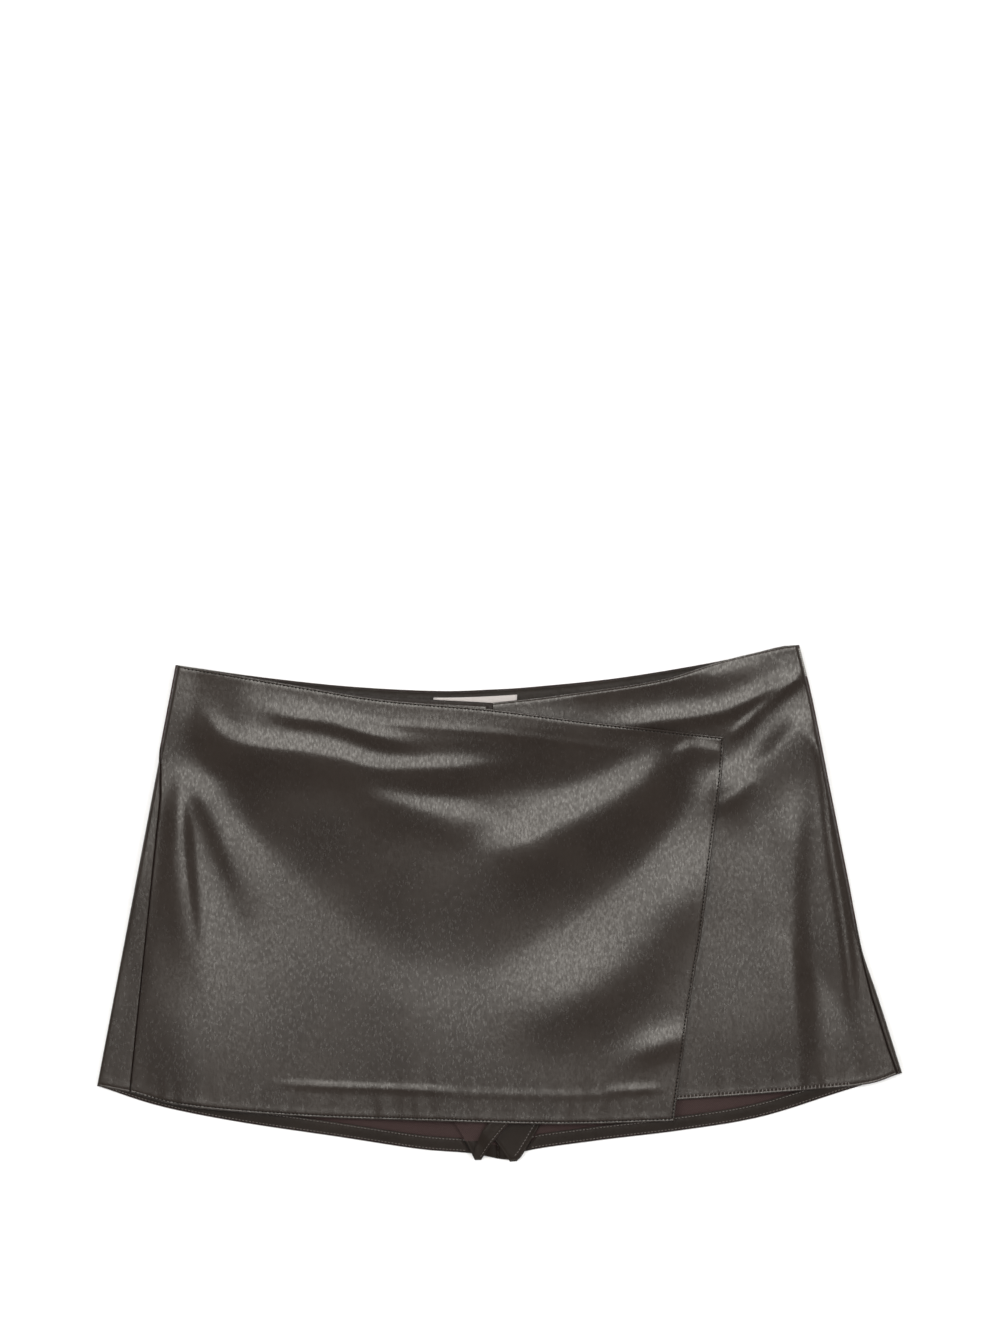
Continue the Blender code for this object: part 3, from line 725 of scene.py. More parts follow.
def area_of(page: Array) -> float:
    """Area of a grid on the page, in square metres."""
    along, up = page[:-1, 1:] - page[:-1, :-1], page[1:, :-1] - page[:-1, :-1]
    return float(np.abs(along[:, :, 0] * up[:, :, 1] - along[:, :, 1] * up[:, :, 0]).sum()) * MM * MM


# Shader expressions.


class Socket:
    """A shader value that takes part in Python expressions."""

    def __init__(self, bench: Bench, socket: bpy.types.NodeSocket) -> None:
        """Wraps an output socket of the bench's tree."""
        self.bench = bench
        self.socket = socket

    def _maths(self, operation: str, first: Socket | float, second: Socket | float) -> Socket:
        """Adds a Math node."""
        return self.bench.add("ShaderNodeMath", {"operation": operation}, {0: first, 1: second})

    def __add__(self, other: Socket | float) -> Socket:
        """Sum."""
        return self._maths("ADD", self, other)

    __radd__ = __add__

    def __sub__(self, other: Socket | float) -> Socket:
        """Difference."""
        return self._maths("SUBTRACT", self, other)

    def __rsub__(self, other: Socket | float) -> Socket:
        """Difference, the other way round."""
        return self._maths("SUBTRACT", other, self)

    def __mul__(self, other: Socket | float) -> Socket:
        """Product."""
        return self._maths("MULTIPLY", self, other)

    __rmul__ = __mul__

    def step(self, low: float, high: float) -> Socket:
        """A smooth step from 0 at low to 1 at high."""
        settings = {"interpolation_type": "SMOOTHSTEP", "clamp": True}
        return self.bench.add("ShaderNodeMapRange", settings, {"Value": self, "From Min": low, "From Max": high})


class Bench:
    """A material in the making, or the world's light."""

    def __init__(self, name: str, tree: bpy.types.NodeTree | None = None) -> None:
        """Starts with an empty tree.

        Args:
            name: the name of the material.
            tree: the tree to empty and use, in place of a new material's.
        """
        if tree is None:
            self.material = bpy.data.materials.new(name)
            self.material.use_nodes = True
            tree = self.material.node_tree
        self.tree = tree
        self.tree.nodes.clear()

    def add(
        self, kind: str, settings: dict[str, object], inputs: dict[int | str, object], out: int | str = 0
    ) -> Socket:
        """Adds a node.

        Args:
            kind: the node's type.
            settings: its properties, set first.
            inputs: the value or link of each socket, by name or place.
            out: which output is wanted.

        Returns:
            The output as a value for expressions.
        """
        node = self.tree.nodes.new(kind)
        for name, value in settings.items():
            setattr(node, name, value)
        for key, value in inputs.items():
            if isinstance(value, Socket):
                self.tree.links.new(value.socket, node.inputs[key])
            else:
                node.inputs[key].default_value = value
        return Socket(self, node.outputs[out] if len(node.outputs) else None)

    def place(self, scale: Triple, turn: float = 0.0) -> Socket:
        """Object coordinates in cells of the given count per metre, turned about +Z."""
        spot = self.add("ShaderNodeTexCoord", {}, {}, "Object")
        return self.add("ShaderNodeMapping", {}, {"Vector": spot, "Scale": scale, "Rotation": (0.0, 0.0, turn)})

    def noise(self, place: Socket, detail: float = 3.0, roughness: float = 0.55) -> Socket:
        """Noise with cells one unit wide."""
        inputs = {"Vector": place, "Scale": 1.0, "Detail": detail, "Roughness": roughness}
        return self.add("ShaderNodeTexNoise", {}, inputs)

    def fuzz(self, cells: float, detail: float = 3.0) -> Socket:
        """Even noise with this many cells to a metre."""
        return self.noise(self.place((cells, cells, cells)), detail)

    def mix(self, factor: Socket, low: Triple, high: Triple) -> Socket:
        """A colour between two others."""
        return self.add("ShaderNodeMix", {"data_type": "RGBA"}, {0: factor, 6: (*low, 1.0), 7: (*high, 1.0)}, 2)

    def finish(
        self, inputs: dict[int | str, object], height: Socket | None = None, depth: float = 0.0
    ) -> Material:
        """Ends the tree in a Principled shader.

        Args:
            inputs: the shader's values and links.
            height: what the bump rises with, if it has one.
            depth: the bump's height in metres.

        Returns:
            The material.
        """
        if height is not None:
            bump = {"Strength": 1.0, "Distance": depth, "Height": height}
            inputs = {**inputs, "Normal": self.add("ShaderNodeBump", {}, bump)}
        shader = self.add("ShaderNodeBsdfPrincipled", {}, inputs)
        self.add("ShaderNodeOutputMaterial", {}, {"Surface": shader})
        return self.material


@dataclass(frozen=True)
class LeatherFinish:
    """Soft dark brown leather under a thin satin film, which is dull in the creases of its fine grain."""

    name: str = "Leather"
    low_colour: Triple = (0.0140, 0.0100, 0.0077)
    high_colour: Triple = (0.0188, 0.0139, 0.0110)
    film_tint: tuple[float, float, float, float] = (1.0, 0.935, 0.89, 1.0)
    film_weight: float = 1.0
    film_roughness: float = 0.2
    film_ior: float = 1.58
    roughness: float = 0.5
    shine: float = 0.06
    grain: float = 1.3
    grain_shape: Triple = (1.0, 0.45, 1.0)
    grain_turn: float = 0.1
    grain_softness: float = 0.4
    crinkle_cells: Triple = (920.0, 370.0, 920.0)
    crinkle_turn: float = 0.08
    crinkle_roughness: float = 0.6
    crinkle_share: float = 0.9
    grain_share: float = 0.4
    crease_steps: Pair = (0.36, 0.84)
    crease_dullness: float = 0.56
    crease_roughness: float = 0.1
    cloud_cells: float = 22.0
    cloud_steps: Pair = (0.3, 0.7)
    cloud_roughness: float = 0.08
    depth: float = 0.000018

    def make(self) -> Material:
        """Makes the material.

        Returns:
            The material.
        """
        bench = Bench(self.name)
        cells = tuple(share * 1000.0 / self.grain for share in self.grain_shape)
        places = {"Vector": bench.place(cells, self.grain_turn), "Scale": 1.0, "Smoothness": self.grain_softness}
        pebbles = bench.add("ShaderNodeTexVoronoi", {"feature": "SMOOTH_F1"}, places)
        crinkle = bench.noise(bench.place(self.crinkle_cells, self.crinkle_turn), 3.0, self.crinkle_roughness)
        clouds = bench.fuzz(self.cloud_cells)
        creases = (crinkle * self.crinkle_share + pebbles * self.grain_share).step(*self.crease_steps)
        film = (1.0 - creases * self.crease_dullness) * self.film_weight
        mean = self.roughness - (self.cloud_roughness + self.crease_roughness) / 2
        inputs = {
            "Base Color": bench.mix(clouds.step(*self.cloud_steps), self.low_colour, self.high_colour),
            "Roughness": clouds * self.cloud_roughness + creases * self.crease_roughness + mean,
            "Specular IOR Level": self.shine,
            "Coat Weight": film,
            "Coat Roughness": self.film_roughness,
            "Coat IOR": self.film_ior,
            "Coat Tint": self.film_tint,
        }
        return bench.finish(inputs, 1.0 - creases, self.depth)


@dataclass(frozen=True)
class BackingFinish:
    """The brown knitted backing on the cloth's wrong side, with a fine slanting rib."""

    low_colour: Triple = (0.028, 0.0165, 0.0155)
    high_colour: Triple = (0.046, 0.029, 0.0275)
    rib: float = 1.1
    rib_slant: float = 0.7
    rib_waves: float = 0.34
    rib_unevenness: float = 1.6
    fuzz_cells: float = 1600.0
    roughness: float = 0.88
    shine: float = 0.25
    depth: float = 0.00015

    def make(self) -> Material:
        """Makes the material.

        Returns:
            The material.
        """
        bench = Bench("Knitted backing")
        rows = 1000.0 / self.rib
        inputs = {
            "Vector": bench.place((rows, rows, rows), self.rib_slant),
            "Scale": self.rib_waves,
            "Distortion": self.rib_unevenness,
            "Detail": 2.0,
            "Detail Scale": 1.5,
        }
        settings = {"wave_type": "BANDS", "bands_direction": "X", "wave_profile": "SIN"}
        ribs = bench.add("ShaderNodeTexWave", settings, inputs, "Fac")
        fuzz = bench.fuzz(self.fuzz_cells)
        colour = bench.mix((ribs * 0.45 + fuzz * 0.55).step(0.1, 0.9), self.low_colour, self.high_colour)
        inputs = {"Base Color": colour, "Roughness": self.roughness, "Specular IOR Level": self.shine}
        return bench.finish(inputs, ribs * 0.7 + fuzz * 0.5, self.depth)


@dataclass(frozen=True)
class LabelFinish:
    """A pale woven label with nothing on it."""

    low_colour: Triple = (0.42, 0.385, 0.37)
    high_colour: Triple = (0.50, 0.46, 0.44)
    thread_cells: Triple = (2600.0, 3400.0, 2600.0)
    fuzz_cells: float = 900.0
    roughness: float = 0.7
    depth: float = 0.00006

    def make(self) -> Material:
        """Makes the material.

        Returns:
            The material.
        """
        bench = Bench("Woven label")
        places = {"Vector": bench.place(self.thread_cells), "Scale": 1.0}
        threads = bench.add("ShaderNodeTexChecker", {}, places, "Fac")
        fuzz = bench.fuzz(self.fuzz_cells, 2.0)
        colour = bench.mix((threads * 0.5 + fuzz * 0.5).step(0.1, 0.9), self.low_colour, self.high_colour)
        inputs = {"Base Color": colour, "Roughness": self.roughness}
        return bench.finish(inputs, threads * 0.6 + fuzz * 0.4, self.depth)


@dataclass(frozen=True)
class ThreadFinish:
    """Twisted sewing thread."""

    name: str
    low_colour: Triple
    high_colour: Triple
    shine: float = 0.5
    roughness: float = 0.6
    twist_cells: float = 2400.0
    depth: float = 0.00005

    def make(self) -> Material:
        """Makes the material.

        Returns:
            The material.
        """
        bench = Bench(self.name)
        twist = bench.fuzz(self.twist_cells, 2.0)
        colour = bench.mix(twist.step(0.3, 0.7), self.low_colour, self.high_colour)
        inputs = {"Base Color": colour, "Roughness": self.roughness, "Specular IOR Level": self.shine}
        return bench.finish(inputs, twist, self.depth)


@dataclass(frozen=True)
class ZipFinish:
    """The side zip's silvery teeth or its dark woven tape."""

    name: str
    metallic: float
    roughness: float
    colour: Triple
    worn_colour_share: float = 0.7
    wear_cells: float = 1500.0
    wear_roughness: float = 0.15
    depth: float = 0.00004

    def make(self) -> Material:
        """Makes the material.

        Returns:
            The material.
        """
        bench = Bench(self.name)
        wear = bench.fuzz(self.wear_cells)
        worn = tuple(self.worn_colour_share * channel for channel in self.colour)
        inputs = {
            "Base Color": bench.mix(wear, worn, self.colour),
            "Roughness": wear * self.wear_roughness + self.roughness,
            "Metallic": self.metallic,
        }
        return bench.finish(inputs, wear, self.depth)


class Wardrobe:
    """All finishes of the garment."""

    def __init__(self) -> None:
        """Makes each finish once."""
        self.leather = LeatherFinish().make()
        # A darker copy of the leather with a weak film: painted shade on the turned hems, the waist facing and the leg
        # corners.
        self.painted_shade_leather = LeatherFinish(
            "Leather darkened for painted shade", (0.0110, 0.0078, 0.0060), (0.0150, 0.0110, 0.0087), film_weight=0.2
        ).make()
        self.backing = BackingFinish().make()
        self.label = LabelFinish().make()
        self.thread = ThreadFinish("Dark thread", (0.003, 0.0025, 0.002), (0.006, 0.005, 0.0045), 0.1).make()
        self.hem_thread = ThreadFinish("Hem thread", (0.06, 0.050, 0.044), (0.17, 0.15, 0.14)).make()
        self.tape = ZipFinish("Zip tape", 0.0, 0.62, (0.03, 0.026, 0.024)).make()
        self.teeth = ZipFinish("Zip teeth", 1.0, 0.22, (0.75, 0.74, 0.72)).make()


# Making cloth and stitches.


def linked(name: str, data: bpy.types.ID) -> Object:
    """A new object in the scene."""
    thing = bpy.data.objects.new(name, data)
    bpy.context.scene.collection.objects.link(thing)
    return thing


def made(name: str, shape: bmesh.types.BMesh, finishes: Sequence[Material]) -> Object:
    """Makes a piece of a mesh and rides it on the garment.

    Args:
        name: the piece's name.
        shape: the mesh, which is used up.
        finishes: its materials.

    Returns:
        The piece.
    """
    mesh = bpy.data.meshes.new(name)
    shape.to_mesh(mesh)
    shape.free()
    mesh.shade_smooth()
    for finish in finishes:
        mesh.materials.append(finish)
    piece = linked(name, mesh)
    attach(piece, "root")
    LOG.info("%s: %d faces", name, len(mesh.polygons))
    return piece


@dataclass
class Cloth:
    """One panel of cloth, given by the grid of its upper or outer face."""

    name: str
    node: str
    grid: Array
    face: Material
    back: Material
    slot: str = "leather"

    def make(self) -> Object:
        """Builds the panel as a thin wall, in the place of its node.

        Returns:
            The piece.
        """
        rows, columns = self.grid.shape[:2]
        shape = bmesh.new()
        bmesh.ops.create_grid(shape, x_segments=columns - 1, y_segments=rows - 1, size=0.5)
        for vertex, place in zip(shape.verts, self.grid.reshape(-1, 3)):
            vertex.co = place * MM
        piece = made(self.name, shape, (self.face, self.back))
        wall = piece.modifiers.new("Cloth wall", "SOLIDIFY")
        wall.thickness = WALL * MM
        wall.offset = -1.0
        wall.material_offset = 1
        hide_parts(self.node)
        return piece


def refinish(
    piece: Object, finishes: Sequence[Material], chosen: Callable[[float, float, float], bool]
) -> None:
    """Gives part of a panel other finishes.

    Args:
        piece: the panel.
        finishes: the finishes of its face and its back there.
        chosen: whether a place on the panel, in metres, is in that part.
    """
    first = len(piece.data.materials)
    for finish in finishes:
        piece.data.materials.append(finish)
    for polygon in piece.data.polygons:
        if chosen(*polygon.center):
            polygon.material_index = first


@dataclass(frozen=True)
class Stitching:
    """A row of stitches: each is a short bead of thread."""

    pitch: float = 2.3
    length: float = 1.75
    width: float = 0.42
    slant: float = 0.0
    batch: int = 24

    def sew(self, shape: bmesh.types.BMesh, seam: Array) -> None:
        """Adds the stitches to a mesh, a batch at a time.

        Args:
            shape: the mesh that takes them.
            seam: the seam's route as close (x, y, z) places.
        """
        lengths = np.concatenate([[0], np.cumsum(np.linalg.norm(np.diff(seam, axis=0), axis=1))])
        middles = np.arange(self.pitch / 2, lengths[-1], self.pitch)
        for first in range(0, len(middles), self.batch):
            few = bmesh.new()
            for middle in middles[first : first + self.batch]:
                turn = self.stitch(middle, lengths, seam)
                bmesh.ops.create_uvsphere(few, u_segments=6, v_segments=5, radius=1.0, matrix=turn)
            mesh = bpy.data.meshes.new("stitches")
            few.to_mesh(mesh)
            few.free()
            shape.from_mesh(mesh)
            bpy.data.meshes.remove(mesh)

    def stitch(self, middle: float, lengths: Array, seam: Array) -> Matrix:
        """The place, turn and size of one stitch.

        Args:
            middle: how far along the seam it lies.
            lengths: the length of the seam up to each of its places.
            seam: those places.

        Returns:
            The matrix that turns a ball into the stitch.
        """
        ends = [
            Vector([float(np.interp(middle + shift, lengths, seam[:, axis])) for axis in range(3)])
            for shift in (-self.length / 2, self.length / 2)
        ]
        run = (ends[1] - ends[0]).normalized()
        turn = run.to_track_quat("X", "Z").to_matrix().to_4x4() @ Matrix.Rotation(self.slant, 4, "Z")
        size = Matrix.Diagonal((self.length / 2, self.width / 2, self.width / 2, 1.0))
        return Matrix.Scale(MM, 4) @ Matrix.Translation((ends[0] + ends[1]) / 2) @ turn @ size


def sewn(
    name: str, thread: Material, seams: Iterable[tuple[Stitching, Array]]
) -> Object:
    """Sews a few seams as one piece.

    Args:
        name: the piece's name.
        thread: the thread's finish.
        seams: each seam's stitching, and its route as close (x, y, z) places.

    Returns:
        The piece.
    """
    shape = bmesh.new()
    for stitching, seam in seams:
        stitching.sew(shape, seam)
    return made(name, shape, (thread,))


def on_face(page: Array, height: Height, lift: float) -> Array:
    """Places on the page raised to a face of cloth.

    Args:
        page: the (x, y) places.
        height: the face's height.
        lift: how far above it the places lie.

    Returns:
        (x, y, z) rows.
    """
    return np.column_stack([page, height(page[:, 0], page[:, 1]) + lift])


# Sub-assemblies.


@dataclass
class WrapPanel:
    """The wide panel sewn into the left side seam, free along its right edge."""

    finishes: Wardrobe
    size: Pair = (380.0, 300.0)
    pitch: float = 2.3
    stitching: Stitching = Stitching(pitch=2.6, length=1.6, width=0.9)
    stitch_lift: float = -0.08
    seams: tuple[tuple[Edge, float, Pair], ...] = (
        (Edge.WRAP_HEM, 1.5, (0.005, 0.995)),
        (Edge.WRAP_FREE, 1.5, (0.006, 0.994)),
        (Edge.WRAP_WAIST, -1.5, (0.012, 0.996)),
    )

    def make(self) -> None:
        """Builds the panel, with stitches along its waist, its free edge and its hem."""
        across, up = (graded(length, self.pitch) for length in self.size)
        left = LEFT.seam_edge(up, SIDE_SEAM_GAP / 2)
        hem = Edge.WRAP_HEM.value.ending(first=left[0])
        waist = Edge.WRAP_WAIST.value.ending(first=left[-1])
        page = Pattern(hem, waist, left, Edge.WRAP_FREE.value.at(up), across, up).page()
        grid = LEFT.roll_down(raised(page, LAY.wrap, "hwr", "l"))
        panel = Cloth("wrap_panel", "wrap_front", grid, self.finishes.leather, self.finishes.backing).make()
        stitches = sewn("wrap_stitches", self.finishes.thread, (
            (self.stitching, on_face(edge.value.beside(inset, 500, ends), LAY.wrap, self.stitch_lift))
            for edge, inset, ends in self.seams
        ))
        area_of(page)


@dataclass
class Fronts:
    """The two fronts of the shorts, seamed at the centre."""

    finishes: Wardrobe
    right_size: Pair = (270.0, 300.0)
    left_size: Pair = (230.0, 285.0)
    pitch: float = 2.3
    hidden_pitch: float = 5.0
    hidden_ends: Pair = (0.05, 0.985)
    hidden_clearance: float = 1.2
    centre_hem: float = -135.5
    seams: tuple[tuple[Stitching, Edge, float, int, Pair, float], ...] = (
        (Stitching(), Edge.FRONT_WAIST, -1.5, 400, (0.55, 0.985), -0.06),
        (Stitching(2.55, 3.1, 0.72, 1.45), Edge.FRONT_RIGHT_HEM, 1.9, 300, (0.44, 0.87), 0.0),
        (Stitching(width=0.5), Edge.FRONT_RIGHT_HEM, 1.2, 120, (0.87, 0.98), -0.04),
    )

    def make(self) -> None:
        """Builds both fronts."""
        self.left()
        self.right()

    def left(self) -> None:
        """The left front, hidden under the wrap panel."""
        across, up = (graded(length, self.hidden_pitch, False, False) for length in self.left_size)
        waist, _ = Edge.FRONT_WAIST.value.cut_at(CENTRE_FRONT - SEAM_GAP / 2)
        shares = np.interp(up, (0, 1), self.hidden_ends)
        points, inward = LEFT.at(shares)
        reach = np.maximum(LEFT.seam_girth(shares) - LEFT.slack, LEFT.roll) + self.hidden_clearance
        side = points + inward * reach[:, None]
        hem = Edge.FRONT_LEFT_HEM.value.ending(side[0], (CENTRE_FRONT - SEAM_GAP / 2, self.centre_hem))
        waist = waist.ending(first=side[-1])
        centre = np.linspace(hem.points[-1], waist.points[-1], len(up))
        page = Pattern(hem, waist, side, centre, across, up).page()
        grid = raised(page, LAY.front)
        panel = Cloth("shorts_front_left", "front_left", grid, self.finishes.leather, self.finishes.backing).make()
        area_of(page)

    def right(self) -> None:
        """The right front, with stitches along its waist and its hem."""
        across, up = (graded(length, self.pitch) for length in self.right_size)
        _, waist = Edge.FRONT_WAIST.value.cut_at(CENTRE_FRONT + SEAM_GAP / 2)
        side = RIGHT.seam_edge(up, SIDE_SEAM_GAP / 2)
        hem = Edge.FRONT_RIGHT_HEM.value.ending((CENTRE_FRONT + SEAM_GAP / 2, self.centre_hem), side[0])
        waist = waist.ending(last=side[-1])
        centre = straight(hem.points[0], waist.points[0], up)
        page = Pattern(hem, waist, centre, side, across, up).page()
        grid = RIGHT.roll_down(raised(page, LAY.front, "hw", "lr"))
        panel = Cloth("shorts_front_right", "front_right", grid, self.finishes.leather, self.finishes.backing).make()
        stitches = sewn("front_stitches", self.finishes.hem_thread, (
            (stitching, on_face(edge.value.beside(inset, count, ends), LAY.front, lift))
            for stitching, edge, inset, count, ends, lift in self.seams
        ))
        area_of(page)


@dataclass
class Backs:
    """The two backs, which lie on the table and roll over at the sides."""

    finishes: Wardrobe
    size: Pair = (250.0, 300.0)
    pitches: Pair = (8.0, 3.4)
    bend_rows: tuple[float, ...] = (0.12, 0.25, 0.38, 0.5, 0.62, 0.74, 0.86, 0.97)
    seam_rows: tuple[Pair, ...] = (
        (0.25, 99.0), (0.5, 99.0), (0.75, 3.0), (0.85, 1.2), (0.9, 0.6), (0.95, 0.35), (0.98, 0.12), (1.0, 0.0),
    )
    rolled_share: float = 0.6
    centre_hem_reach: float = 26.0
    centre_hem_top: float = -160.0
    band_rows: tuple[float, ...] = (0.6, 0.9, 1.4, 2.0, 3.0, 5.0, 7.0, 8.2, 8.9, 9.3, 9.5)
    band_columns: int = 110
    band_relief: float = 0.6
    band_slack: float = 1.03
    stitching: Stitching = Stitching(width=0.5)
    stitch_insets: Pair = (1.5, 8.3)
    stitch_margin: float = 3.0
    stitch_lift: float = -0.08

    def panel(self, side: Side, node: str, hem: Curve, waist: Curve) -> None:
        """One back.

        Args:
            side: the side that it rolls round.
            node: the node that it replaces.
            hem: its hem, from left to right.
            waist: its waist, from left to right.
        """
        across, up = graded(self.size[0], self.pitches[0], False, False), graded(self.size[1], self.pitches[1])
        outer = side.wrapped(up, np.full(len(up), -side.quarter))[:, :2]
        if side is LEFT:
            hem, waist = hem.ending(first=outer[0]), waist.ending(first=outer[-1])
            page = Pattern(hem, waist, outer, straight(hem.points[-1], waist.points[-1], up), across, up).page()
        else:
            hem, waist = hem.ending(last=outer[0]), waist.ending(last=outer[-1])
            page = Pattern(hem, waist, straight(hem.points[0], waist.points[0], up), outer, across, up).page()
        flat = np.dstack([page, np.zeros(page.shape[:2])])[:, ::-1]
        seam = side.seam_girth(up) - SIDE_SEAM_GAP / 2
        bend = np.minimum(seam, side.quarter) + side.quarter
        girths = [share * bend - side.quarter for share in self.bend_rows]
        rest = seam - girths[-1]
        girths += [seam - np.minimum((1 - share) * rest, nearest) for share, nearest in self.seam_rows]
        rolled = np.stack([side.wrapped(up, girth) for girth in girths], axis=1)
        rolled[:, :, 2] += np.where(rolled[:, :, 2] > side.roll, turned_edge(edge_distances(rolled[:, :, :2], "h")), 0)
        rolled[:, :, 2] += np.stack([seam_dip(seam - girth) for girth in girths], axis=1)
        grid = np.concatenate([flat, rolled] if side is LEFT else [rolled[:, ::-1], flat], axis=1)
        panel = Cloth(f"shorts_{node}", node, grid, self.finishes.leather, self.finishes.backing).make()
        # The hem between the leg corners' tips is painted in shade with the darker leather.
        refinish(panel, (self.finishes.leather, self.finishes.painted_shade_leather), self.is_centre_hem)
        rolled_area = float(np.mean(bend + seam)) * self.size[1] * MM * MM * self.rolled_share
        area_of(page) + rolled_area

    def is_centre_hem(self, x: float, y: float, z: float) -> bool:
        """Whether a place, in metres, is in the turned hem that shows between the leg corners' tips, which is painted
        in shade.
        """
        return abs(x / MM) < self.centre_hem_reach and y / MM < self.centre_hem_top and z < BACK_TOP * MM

    def make(self) -> None:
        """Builds both backs with their hems and stitches."""
        left, right = CENTRE_BACK - SEAM_GAP / 2, CENTRE_BACK + SEAM_GAP / 2
        hem_left, hem_right = Edge.BACK_LEFT_HEM.value, Edge.BACK_RIGHT_HEM.value
        waist_left, waist_right = Edge.BACK_WAIST.value.cut_at(CENTRE_BACK)
        ends = [(left, curve.points[-1][1]) for curve in (hem_left, waist_left)]
        self.panel(LEFT, "back_left", hem_left.ending(last=ends[0]), waist_left.ending(last=ends[1]))
        ends = [(right, curve.points[0][1]) for curve in (hem_right, waist_right)]
        self.panel(RIGHT, "back_right", hem_right.ending(first=ends[0]), waist_right.ending(first=ends[1]))
        self.band("back_left", hem_left, (-263.0, -19.5), (-262.0, -26.0))
        self.band("back_right", hem_right, (18.2, 248.0), (25.2, 246.0))

    def band(self, back: str, hem: Curve, outer: Pair, inner: Pair) -> None:
        """One turned hem, with its two rows of stitches.

        Args:
            back: the back's node.
            hem: the back's hem.
            outer: where the band's lower edge starts and ends across the page.
            inner: where its upper edge does.
        """
        width, rows = self.band_rows[-1], []
        for inset in self.band_rows:
            share = (inset - self.band_rows[0]) / (width - self.band_rows[0])
            ends = [low + share * (high - low) for low, high in zip(outer, inner)]
            page = hem.beside_at(inset, np.linspace(*ends, self.band_columns))
            rows.append(on_face(page, on_backs, self.band_relief * turned_edge(np.array(width - inset))))
        # The band wears the darker leather as painted shade.
        piece = Cloth(
            f"{back}_turned_hem", f"{back}_hem", np.stack(rows), self.finishes.painted_shade_leather, self.finishes.backing
        ).make()
        x = np.linspace(outer[0] + self.stitch_margin, outer[1] - self.stitch_margin, 400)
        stitches = sewn(f"{back}_turned_hem_stitches", self.finishes.hem_thread, (
            (self.stitching, on_face(hem.beside_at(inset, x), on_backs, self.stitch_lift))
            for inset in self.stitch_insets
        ))


@dataclass
class WaistTrim:
    """What shows inside the back waist: its facing and the bare label."""

    finishes: Wardrobe
    facing_rows: tuple[float, ...] = (LAY.facing_depth, 14.0, 8.0, 4.0, 2.2, 1.5, 1.0, 0.6)
    facing_columns: int = 120
    label_rows: int = 12
    label_columns: int = 30

    def strip(self, depths: Sequence[float], ends: Pair, count: int) -> Array:
        """The page of a strip below the back waist edge.

        Args:
            depths: how far each row lies below the edge.
            ends: where the strip starts and ends across the page.
            count: how many places a row has.

        Returns:
            The grid of (x, y).
        """
        return np.stack([Edge.BACK_WAIST.value.beside_at(-depth, np.linspace(*ends, count)) for depth in depths])

    def make(self) -> None:
        """Builds the facing and the label."""
        grid = raised(self.strip(self.facing_rows, LAY.facing_ends, self.facing_columns), on_backs, "w")
        # The facing wears the darker leather as painted shade.
        facing = Cloth(
            "waist_facing", "back_waist_facing", grid, self.finishes.painted_shade_leather, self.finishes.backing
        ).make()
        low, high = LAY.label_depths
        page = self.strip(np.linspace(high, low, self.label_rows), LAY.label_ends, self.label_columns)
        grid = raised(page, lambda x, y: on_backs(x, y) + BAND_RISE)
        label = Cloth("bare_label", "waist_label", grid, self.finishes.label, self.finishes.label, "label").make()


